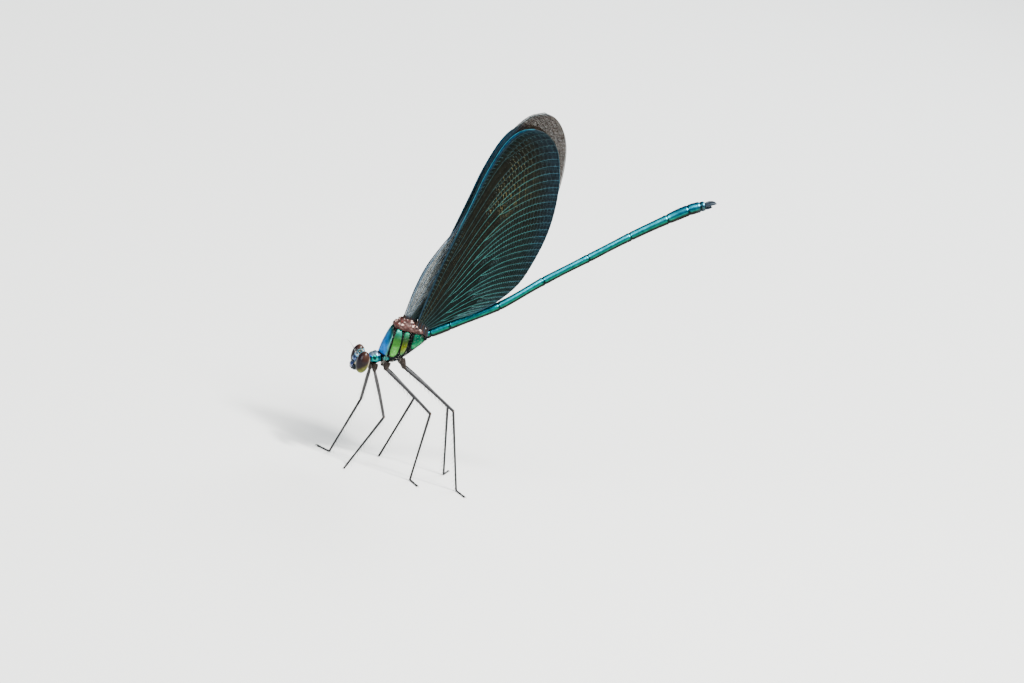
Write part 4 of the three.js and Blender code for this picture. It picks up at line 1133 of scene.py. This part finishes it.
def add_strands(shell, paths, radii, paint, unwrap=None, sides=4):
    """Thin closed prisms along many paths of equal point count, for veins and hairs."""
    paths = np.asarray(paths, float)
    count, rows, _ = paths.shape
    along = np.gradient(paths, axis=1)
    along /= np.maximum(np.linalg.norm(along, axis=2, keepdims=True), 1e-9)
    flat = np.array([0.0, 1, 0])
    start = np.where(np.abs(along[:, :1, 1:2]) > 0.9, [1.0, 0, 0], flat)
    across = start - along * (along * start).sum(axis=2, keepdims=True)
    across /= np.linalg.norm(across, axis=2, keepdims=True)
    above = np.cross(along, across)
    angles = np.arange(sides) / sides * 2 * np.pi
    radii = np.broadcast_to(radii, (count, rows))[:, :, None, None]
    spokes = (
        across[:, :, None, :] * np.cos(angles)[:, None] + above[:, :, None, :] * np.sin(angles)[:, None]
    )
    points = paths[:, :, None, :] + spokes * radii
    index = np.arange(count * rows * sides).reshape(count, rows, sides)
    turned = np.roll(index, -1, axis=2)
    quads = np.stack([index[:, :-1], turned[:, :-1], turned[:, 1:], index[:, 1:]], axis=-1).reshape(-1, 4)
    ends = np.vstack([index[:, 0, ::-1], index[:, -1, :]])
    paint = np.asarray(paint, float)
    paint = np.broadcast_to(paint, (count, rows, paint.shape[-1]))
    paint = np.repeat(paint.reshape(count * rows, -1), sides, axis=0)
    if unwrap is not None:
        unwrap = np.repeat(unwrap.reshape(count * rows, 2), sides, axis=0)
    shell.add_block(points.reshape(-1, 3), [quads, ends], paint, unwrap)


# %% [markdown]
# The hind wings lie outside and look nearly black, with a green tint, bronze glints painted on the
# cross veins and bright blue-green veins towards the rear edge; along the front edge runs a metallic
# blue band. The fore wings show only where they reach past the hind wings: glassy and grey-yellow at the
# base in front, smoky brown at the tip. A wing's film and its veins are painted by the same two shares
# that shape it.

# %% Wing paint
VEIN_TEAL = np.array([0.02, 0.105, 0.095])
VEIN_BLUE = np.array([0.01, 0.05, 0.075])
VEIN_DARK = np.array([0.006, 0.02, 0.022])
PAINTED_GLINT_BRONZE = np.array([0.2, 0.17, 0.06])
FILM_DARK = np.array([0.0008, 0.003, 0.0025])
FILM_BROWN = np.array([0.0035, 0.003, 0.0012])
BAND_BLUE = np.array([0.0, 0.014, 0.036])
GLASSY = np.array([0.07, 0.08, 0.08])
SMOKE = np.array([0.018, 0.013, 0.009])
MARGIN_BROWN = np.array([0.02, 0.013, 0.012])
COSTA_CYAN = np.array([0.015, 0.15, 0.2])
ROOT_VEIN_GREY = np.array([0.05, 0.085, 0.12])
ROOT_CROSS_GREY = np.array([0.09, 0.1, 0.1])


def band_share(reach, fan):
    """How far a point lies in the blue band along the leading edge, which keeps its width in mm."""
    return smooth_step(0.026, 0.012, fan * (0.3 + 1.3 * reach))


def clear_share(reach, fan):
    """The glassy base and the smoky tip of a fore wing."""
    base = smooth_step(0.5, 0.38, reach) * smooth_step(0.5, 0.3, fan)
    tip = smooth_step(0.82, 0.92, reach) * smooth_step(0.62, 0.4, fan)
    return base, tip


def film_paint(kind, reach, fan):
    """Colour and cover of the film."""
    reach, fan = np.broadcast_arrays(np.asarray(reach, float), np.asarray(fan, float))
    rear = smooth_step(0.25, 0.7, fan)
    colour = mix(FILM_DARK, FILM_BROWN, 0.7 * (1 - rear) * smooth_step(0.02, 0.08, fan))
    colour = mix(colour, BAND_BLUE * (1 if kind == "hind" else 0.45), band_share(reach, fan))
    rim_blue = 0.3 * smooth_step(0.88, 1.0, reach) * smooth_step(0.8, 0.5, fan)
    colour = mix(colour, BAND_BLUE * 0.6, rim_blue)
    cover = np.ones_like(reach)
    if kind == "fore":
        base, tip = clear_share(reach, fan)
        colour = mix(mix(colour, GLASSY, base), SMOKE, tip)
        cover = 1 - 0.5 * base - 0.45 * tip
    return np.concatenate([colour, cover[..., None]], axis=-1)


def vein_paint(kind, reach, fan, size):
    """Long veins: bright towards the rear edge, and the finer ones dimmer."""
    reach, fan, size = np.broadcast_arrays(*(np.asarray(value, float) for value in (reach, fan, size)))
    rear = smooth_step(0.02, 0.13, (fan - 0.08) * np.maximum(reach, 0) ** 1.3)
    strong = smooth_step(0.024, 0.05, size)
    hue = mix(VEIN_TEAL, VEIN_BLUE, smooth_step(0.8, 1.0, reach))
    colour = mix(VEIN_DARK, hue, (0.08 + 0.92 * rear) * (0.25 + 0.75 * strong))
    colour = mix(colour, VEIN_BLUE * 0.3, smooth_step(0.06, 0.02, fan))
    edge = (0.8 if kind == "hind" else 0.12) * (fan == 0) * smooth_step(0.35, 0.5, reach)
    colour = mix(colour, COSTA_CYAN, edge)
    if kind == "fore":
        base, tip = clear_share(reach, fan)
        tip = tip * smooth_step(0.0, 0.03, fan)
        colour = mix(mix(colour, ROOT_VEIN_GREY, base), MARGIN_BROWN, tip)
    return colour


def cross_paint(kind, reach, fan, painted_glint):
    """Cross veins: painted bronze glints in front, dark behind, pale grey in the glassy base."""
    reach, fan, painted_glint = np.broadcast_arrays(reach, fan, painted_glint)
    front = smooth_step(0.06, 0.14, fan) * smooth_step(0.42, 0.3, fan) * smooth_step(0.95, 0.75, reach)
    # Painted highlight: bronze glints on the cross veins in front, stronger where the seeded share is high.
    colour = mix(VEIN_DARK * 2, PAINTED_GLINT_BRONZE, front * painted_glint**1.5)
    if kind == "fore":
        base, tip = clear_share(reach, fan)
        colour = mix(mix(colour, ROOT_CROSS_GREY, base), MARGIN_BROWN, tip)
    return colour


# %% [markdown]
# The films are dull, the veins glossier with a touch of metal. The fore wing has its own film, because
# only its finish lets light through, by the share that the paint carries.

# %% Wing finishes
FILM = shell_material("wing_film", 0.0, (0.35, 0.55), grain=6, relief=0.5, mottle=0.5, shine=0.06)
CLEAR_FILM = shell_material("clear_wing_film", 0.0, (0.3, 0.5), 6, 0.5, mottle=0.4, shine=0.2, clear=True)
VEIN = shell_material("wing_vein", 0.3, (0.3, 0.45), grain=10, relief=0.2, mottle=0.3, shine=0.2)
print(len(bpy.data.materials), "finishes")

# %% [markdown]
# Each wing is built by the same two functions. The film is a closed sheet of two faces, nearly as thin as
# in life, and the veins lie around its middle. A ladder of cross veins joins each long vein to the next.
# Every rung is set a little off the last by a sine, so that the ladder looks grown, and a seeded chance
# decides how strong a painted bronze glint each rung carries.

# %% Four wings
FILM_ROWS = 90
FILM_COLUMNS = 6 * PLEATS
VEIN_POINTS = 46
MARGIN_POINTS = 220
REAR_POINTS = 50
REAR_RADIUS = 0.05
WINGS = {
    "hind_wing_left": (HIND_WING, -HIND_ROOT_Y, "hind"), "fore_wing_left": (FORE_WING, -FORE_ROOT_Y, "fore"),
    "fore_wing_right": (FORE_WING, FORE_ROOT_Y, "fore"), "hind_wing_right": (HIND_WING, HIND_ROOT_Y, "hind"),
}


def wing_film(name, outline, level, kind):
    """Two faces a film's thickness apart, closed along the rim."""
    reach = np.linspace(0, 1, FILM_ROWS + 1)[:, None]
    fan = np.linspace(0, 1, FILM_COLUMNS + 1)[None, :]
    middle = wing_points(outline, reach, fan, level)
    paint = film_paint(kind, reach, fan)
    rows, columns = middle.shape[:2]
    near, far = middle.copy(), middle.copy()
    near[:, :, 1] -= FILM_HALF
    far[:, :, 1] += FILM_HALF
    count = rows * columns
    index = np.arange(count).reshape(rows, columns)
    a, b, c, d = index[:-1, :-1], index[:-1, 1:], index[1:, 1:], index[1:, :-1]
    quads = np.stack([a, b, c, d], axis=-1).reshape(-1, 4)
    rim = np.concatenate([index[0, :-1], index[:-1, -1], index[-1, :0:-1], index[:0:-1, 0]])
    turned = np.roll(rim, -1)
    edge = np.stack([rim, rim + count, turned + count, turned], axis=-1)
    faces = np.vstack([quads, quads[:, ::-1] + count, edge])
    shell = Shell()
    both = np.vstack([near.reshape(-1, 3), far.reshape(-1, 3)])
    shell.add_block(both, [faces], np.vstack([paint.reshape(-1, 4)] * 2))
    material = CLEAR_FILM if kind == "fore" else FILM
    shell.make(f"{name}_film", material, f"{kind}_wing_membrane", [name])


def wing_veins(name, outline, level, kind):
    """The long veins, the margin veins and the ladders of cross veins."""
    shell = Shell()
    fans, starts, sizes, steps = (np.array(column)[:, None] for column in zip(*LONG_VEINS[kind]))
    reach = starts + (1 - starts) * np.linspace(0, 1, VEIN_POINTS)
    fork = np.where(starts > 0, steps * np.exp(-(reach - starts) / FORK_REACH), 0)
    fan = fans - fork
    thick = np.where(fan == 0, COSTA_RADIUS * (1 - 0.45 * reach), sizes * (1 - 0.3 * reach))
    paint = vein_paint(kind, reach, fan, sizes)
    add_strands(shell, wing_points(outline, reach, fan, level), thick, paint, sides=5)
    fan = np.linspace(0, 1, MARGIN_POINTS)[None, :]
    margin = wing_points(outline, np.ones((1, MARGIN_POINTS)), fan, level)
    add_strands(shell, margin, MARGIN_RADIUS, vein_paint(kind, 0.99 + 0 * fan, fan, 0.04), sides=6)
    reach = np.linspace(0, 1, REAR_POINTS)[None, :]
    rear = wing_points(outline, reach, np.ones((1, REAR_POINTS)), level)
    add_strands(shell, rear, REAR_RADIUS, vein_paint(kind, reach, 1 + 0 * reach, 0.04), sides=6)

    lead = wing_points(outline, np.linspace(0, 1, FINE_STEPS), np.zeros(FINE_STEPS), level)
    span = np.linalg.norm(np.diff(lead, axis=0), axis=1).sum()
    rungs = []
    chance = np.random.default_rng(3)
    for k in range(1, int(span / CROSS_SPACING)):
        base = k * CROSS_SPACING / span
        active = [vein[0] for vein in LONG_VEINS[kind] if vein[1] <= base]
        for first, second in zip(active, active[1:]):
            at = base + 0.4 * CROSS_SPACING / span * math.sin(k * 3.1 + first * 91)
            rungs.append((min(at, 0.995), first, second, chance.uniform()))
    at, first, second, painted_glint = (np.array(column)[:, None] for column in zip(*rungs))
    fan = first + (second - first) * np.array([0.0, 0.5, 1.0])
    paths = wing_points(outline, np.broadcast_to(at, fan.shape), fan, level)
    add_strands(shell, paths, CROSS_RADIUS, cross_paint(kind, at, fan, painted_glint), sides=4)
    shell.make(f"{name}_veins", VEIN, f"{kind}_wing_membrane")


for name, (outline, level, kind) in WINGS.items():
    wing_film(name, outline, level, kind)
    wing_veins(name, outline, level, kind)

# %% [markdown]
# The legs carry long stiff bristles in two rows, and the thorax, the hips and the root of the abdomen
# have a thin coat of short pale hairs. Each hair is a slim three-sided spike that bends once. All hairs
# of one kind are joined in one mesh, and each has its patch on an unwrap of the surface that it grows
# from.

# %% Hairs
PATCH = 0.003


class Coat:
    """Collects hairs, each a three-sided spike that bends, and builds them together."""

    def __init__(self, paint):
        self.roots, self.ways, self.sags, self.places, self.paint = [], [], [], [], paint
        self.sizes, self.radii = [], []

    def add(self, root, direction, sag, length, radius, place):
        """One hair. sag is how its tip bends away, place its spot on the unwrap."""
        self.roots.append(root)
        self.ways.append(direction * length)
        self.sags.append(sag * length)
        self.sizes.append(length)
        self.radii.append(radius)
        self.places.append(place)

    def make(self, name, slot):
        """All hairs as one piece."""
        share = np.array([0, 0.5, 1.0])[None, :, None]
        roots, ways, sags = (np.array(block)[:, None, :] for block in (self.roots, self.ways, self.sags))
        paths = roots + ways * share + sags * share**2
        radii = np.array(self.radii)[:, None] * np.array([1, 0.7, 0.12])
        corners = np.array([[0, 0], [PATCH / 2, 0], [0, PATCH]])
        unwrap = np.array(self.places)[:, None, :] + corners
        shell = Shell()
        add_strands(shell, paths, radii, self.paint, unwrap, sides=3)
        shell.make(name, HAIR, slot, coat=True)


print("a tuft's patch on the unwrap is", PATCH, "across")

# %% [markdown]
# The bristles of a leg stand in two rows under the thigh, the shin and the foot, and lean towards the
# foot. They help the animal to hold prey. Each is kept short enough to end above the floor.

# %% Leg bristles
rng = np.random.default_rng(11)
BRISTLE_PAINT = np.array([0.012, 0.011, 0.012])
BRISTLE_RADIUS = 0.024
for name, (hip, knee, heel, toe) in leg_lines.items():
    bristles = Coat(BRISTLE_PAINT)
    for stretch, (start, end, thick, count, length) in enumerate((
        (hip, knee, 0.2, 26, 0.95), (knee, heel, 0.14, 34, 1.05), (heel, toe, 0.1, 12, 0.3),
    )):
        along = unit(end - start)
        below = unit(np.array([0, 0, -1.0]) + along * along[2])
        aside = np.cross(along, below)
        for k in range(count):
            share = (k + 0.5 + 0.3 * rng.uniform(-1, 1)) / count
            row = 1 if k % 2 else -1
            grow = unit(below * rng.uniform(0.7, 1.1) + aside * row * rng.uniform(0.55, 0.9))
            root = start + (end - start) * share + grow * thick * 0.7
            if root[2] < 0.12:
                continue
            direction = unit(grow + along * rng.uniform(0.6, 1.0))
            size = length * rng.uniform(0.75, 1.15)
            size = min(size, max((root[2] - 0.05) / max(-direction[2], 0.01), 0.1))
            place = (0.05 + 0.28 * stretch + 0.1 * (row > 0), 0.05 + 0.9 * share)
            bristles.add(root, direction, along * 0.1, size, BRISTLE_RADIUS, place)
    bristles.make(f"bristles_{name}", "leg_shell")

# %% [markdown]
# The thorax has a thin coat of short pale hairs. Their roots are drawn by chance from the points of the
# skin, and the direction out of the skin is taken from the middle of the ring that the point is on.

# %% Hairs of the thorax
BODY_HAIRS = 900
BODY_HAIR_LENGTHS = (0.18, 0.42)
BODY_HAIR_RADIUS = 0.009
fuzz = Coat(np.array([0.4, 0.38, 0.34]))
rows, around = thorax_rings.shape[:2]
for _ in range(BODY_HAIRS):
    row, column = rng.integers(6, rows - 6), rng.integers(0, around)
    root = thorax_rings[row, column]
    normal = unit(root - thorax_rings[row].mean(axis=0))
    lie = unit(normal + np.array([0.5, 0, 0.25]) * rng.uniform(0.3, 1.2))
    place = (0.02 + 0.9 * column / around, 0.02 + 0.9 * row / rows)
    size = rng.uniform(*BODY_HAIR_LENGTHS)
    fuzz.add(root - normal * 0.02, lie, np.array([0, 0, -0.1]), size, BODY_HAIR_RADIUS, place)
fuzz.make("thorax_fuzz", "thorax_shell")

# %% [markdown]
# The hips carry grey hairs that hang down. A hip is a round tube, so a share along it and a turn around
# it are enough to place a root.

# %% Hairs of the hips
HIP_HAIRS = 70
HIP_HAIR_LENGTHS = (0.15, 0.4)
GREY_HAIR_RADIUS = 0.011
grey_fuzz = Coat(np.array([0.12, 0.11, 0.1]))
for leg_number, (coxa, hip, _, _, _) in enumerate(LEGS.values()):
    start, end = np.array(coxa), np.array(hip)
    for _ in range(HIP_HAIRS):
        share, turn_at = rng.uniform(0.15, 1.0), rng.uniform(0, 2 * np.pi)
        outward = unit([math.cos(turn_at), math.sin(turn_at), 0.2])
        root = start + (end - start) * share + outward * (0.48 - 0.14 * share)
        place = (0.02 + 0.15 * leg_number + 0.12 * turn_at / 7, 0.02 + 0.4 * share)
        size = rng.uniform(*HIP_HAIR_LENGTHS)
        hang = unit(outward + [0, 0, -0.6])
        grey_fuzz.add(root, hang, np.array([0, 0, -0.15]), size, GREY_HAIR_RADIUS, place)
grey_fuzz.make("hip_fuzz", "hip_shell")

# %% [markdown]
# Under the first two and a half lengths of the abdomen the hairs are longer towards the thorax. Points on
# the back of the ring are skipped, since the back is bare.

# %% Hairs under the abdomen
ROOT_HAIRS = 260
ROOT_HAIRS_END = 2.6
ROOT_HAIR_LENGTHS = (0.2, 0.45)
root_fuzz = Coat(np.array([0.14, 0.13, 0.12]))
rows_near = np.nonzero(segment < ROOT_HAIRS_END)[0]
for _ in range(ROOT_HAIRS):
    row, column = rng.choice(rows_near), rng.integers(0, ABDOMEN_AROUND)
    if rise[0, column] > -0.15:
        continue
    root = abdomen_rings[row, column]
    normal = unit(root - abdomen_path[row])
    size = rng.uniform(*ROOT_HAIR_LENGTHS) * (1 - 0.25 * segment[row])
    place = (0.02 + 0.9 * column / ABDOMEN_AROUND, 0.02 + 0.9 * segment[row] / ROOT_HAIRS_END)
    lie = unit(normal + [0.5, 0, 0.3])
    root_fuzz.add(root - normal * 0.02, lie, np.array([0.1, 0, -0.1]), size, GREY_HAIR_RADIUS, place)
root_fuzz.make("abdomen_root_fuzz", "abdomen_shell")

# %% [markdown]
# A museum shows such a model under soft light on a pale ground. A wide plane that is lit evenly serves as
# the floor, and it runs far past the picture. Three large soft lamps do most of the lighting: one above
# in front, one behind for the rim of the wings, and a weak one low at the side. A fourth, small one above
# gives the eyes and the metal their sharp highlights.

# %% Floor and light
FLOOR_HALF = 4.0
FLOOR_GREY = (0.62, 0.63, 0.62, 1)
FLOOR_ROUGHNESS = 0.9
SKY_TINT = (0.86, 0.92, 1.0, 1)
SKY_STRENGTH = 0.16
floor_mesh = bpy.data.meshes.new("floor")
floor_mesh.from_pydata(
    [(-FLOOR_HALF, -FLOOR_HALF, 0), (FLOOR_HALF, -FLOOR_HALF, 0), (FLOOR_HALF, FLOOR_HALF, 0),
     (-FLOOR_HALF, FLOOR_HALF, 0)], [], [(0, 1, 2, 3)],
)
floor = bpy.data.objects.new("floor", floor_mesh)
bpy.context.scene.collection.objects.link(floor)
floor_material = bpy.data.materials.new("pale_floor")
floor_material.use_nodes = True
floor_shader = floor_material.node_tree.nodes["Principled BSDF"]
floor_shader.inputs["Base Color"].default_value = FLOOR_GREY
floor_shader.inputs["Roughness"].default_value = FLOOR_ROUGHNESS
floor_mesh.materials.append(floor_material)

sky = bpy.data.worlds.new("studio")
bpy.context.scene.world = sky
sky.use_nodes = True
sky.node_tree.nodes["Background"].inputs["Color"].default_value = SKY_TINT
sky.node_tree.nodes["Background"].inputs["Strength"].default_value = SKY_STRENGTH

LAMPS = {
    "key": ((0.12, -0.25, 0.55), 0.22, 9.0, (1.0, 0.98, 0.94)),
    "rim": ((0.3, 0.4, 0.4), 0.3, 7.0, (0.95, 0.98, 1.0)),
    "spark": ((0.22, -0.18, 0.6), 0.07, 9.0, (1.0, 0.98, 0.95)),
    "fill": ((-0.5, -0.35, 0.25), 0.3, 4.0, (0.92, 0.96, 1.0)),
}
LAMP_TARGET = Vector((0, 0, 0.03))
for name, (place, size, power, tint) in LAMPS.items():
    lamp_data = bpy.data.lights.new(name, "AREA")
    lamp_data.size = size
    lamp_data.energy = power
    lamp_data.color = tint
    lamp = bpy.data.objects.new(name, lamp_data)
    lamp.location = place
    lamp.rotation_euler = (LAMP_TARGET - Vector(place)).to_track_quat("-Z", "Y").to_euler()
    bpy.context.scene.collection.objects.link(lamp)
print(len(LAMPS), "lamps")
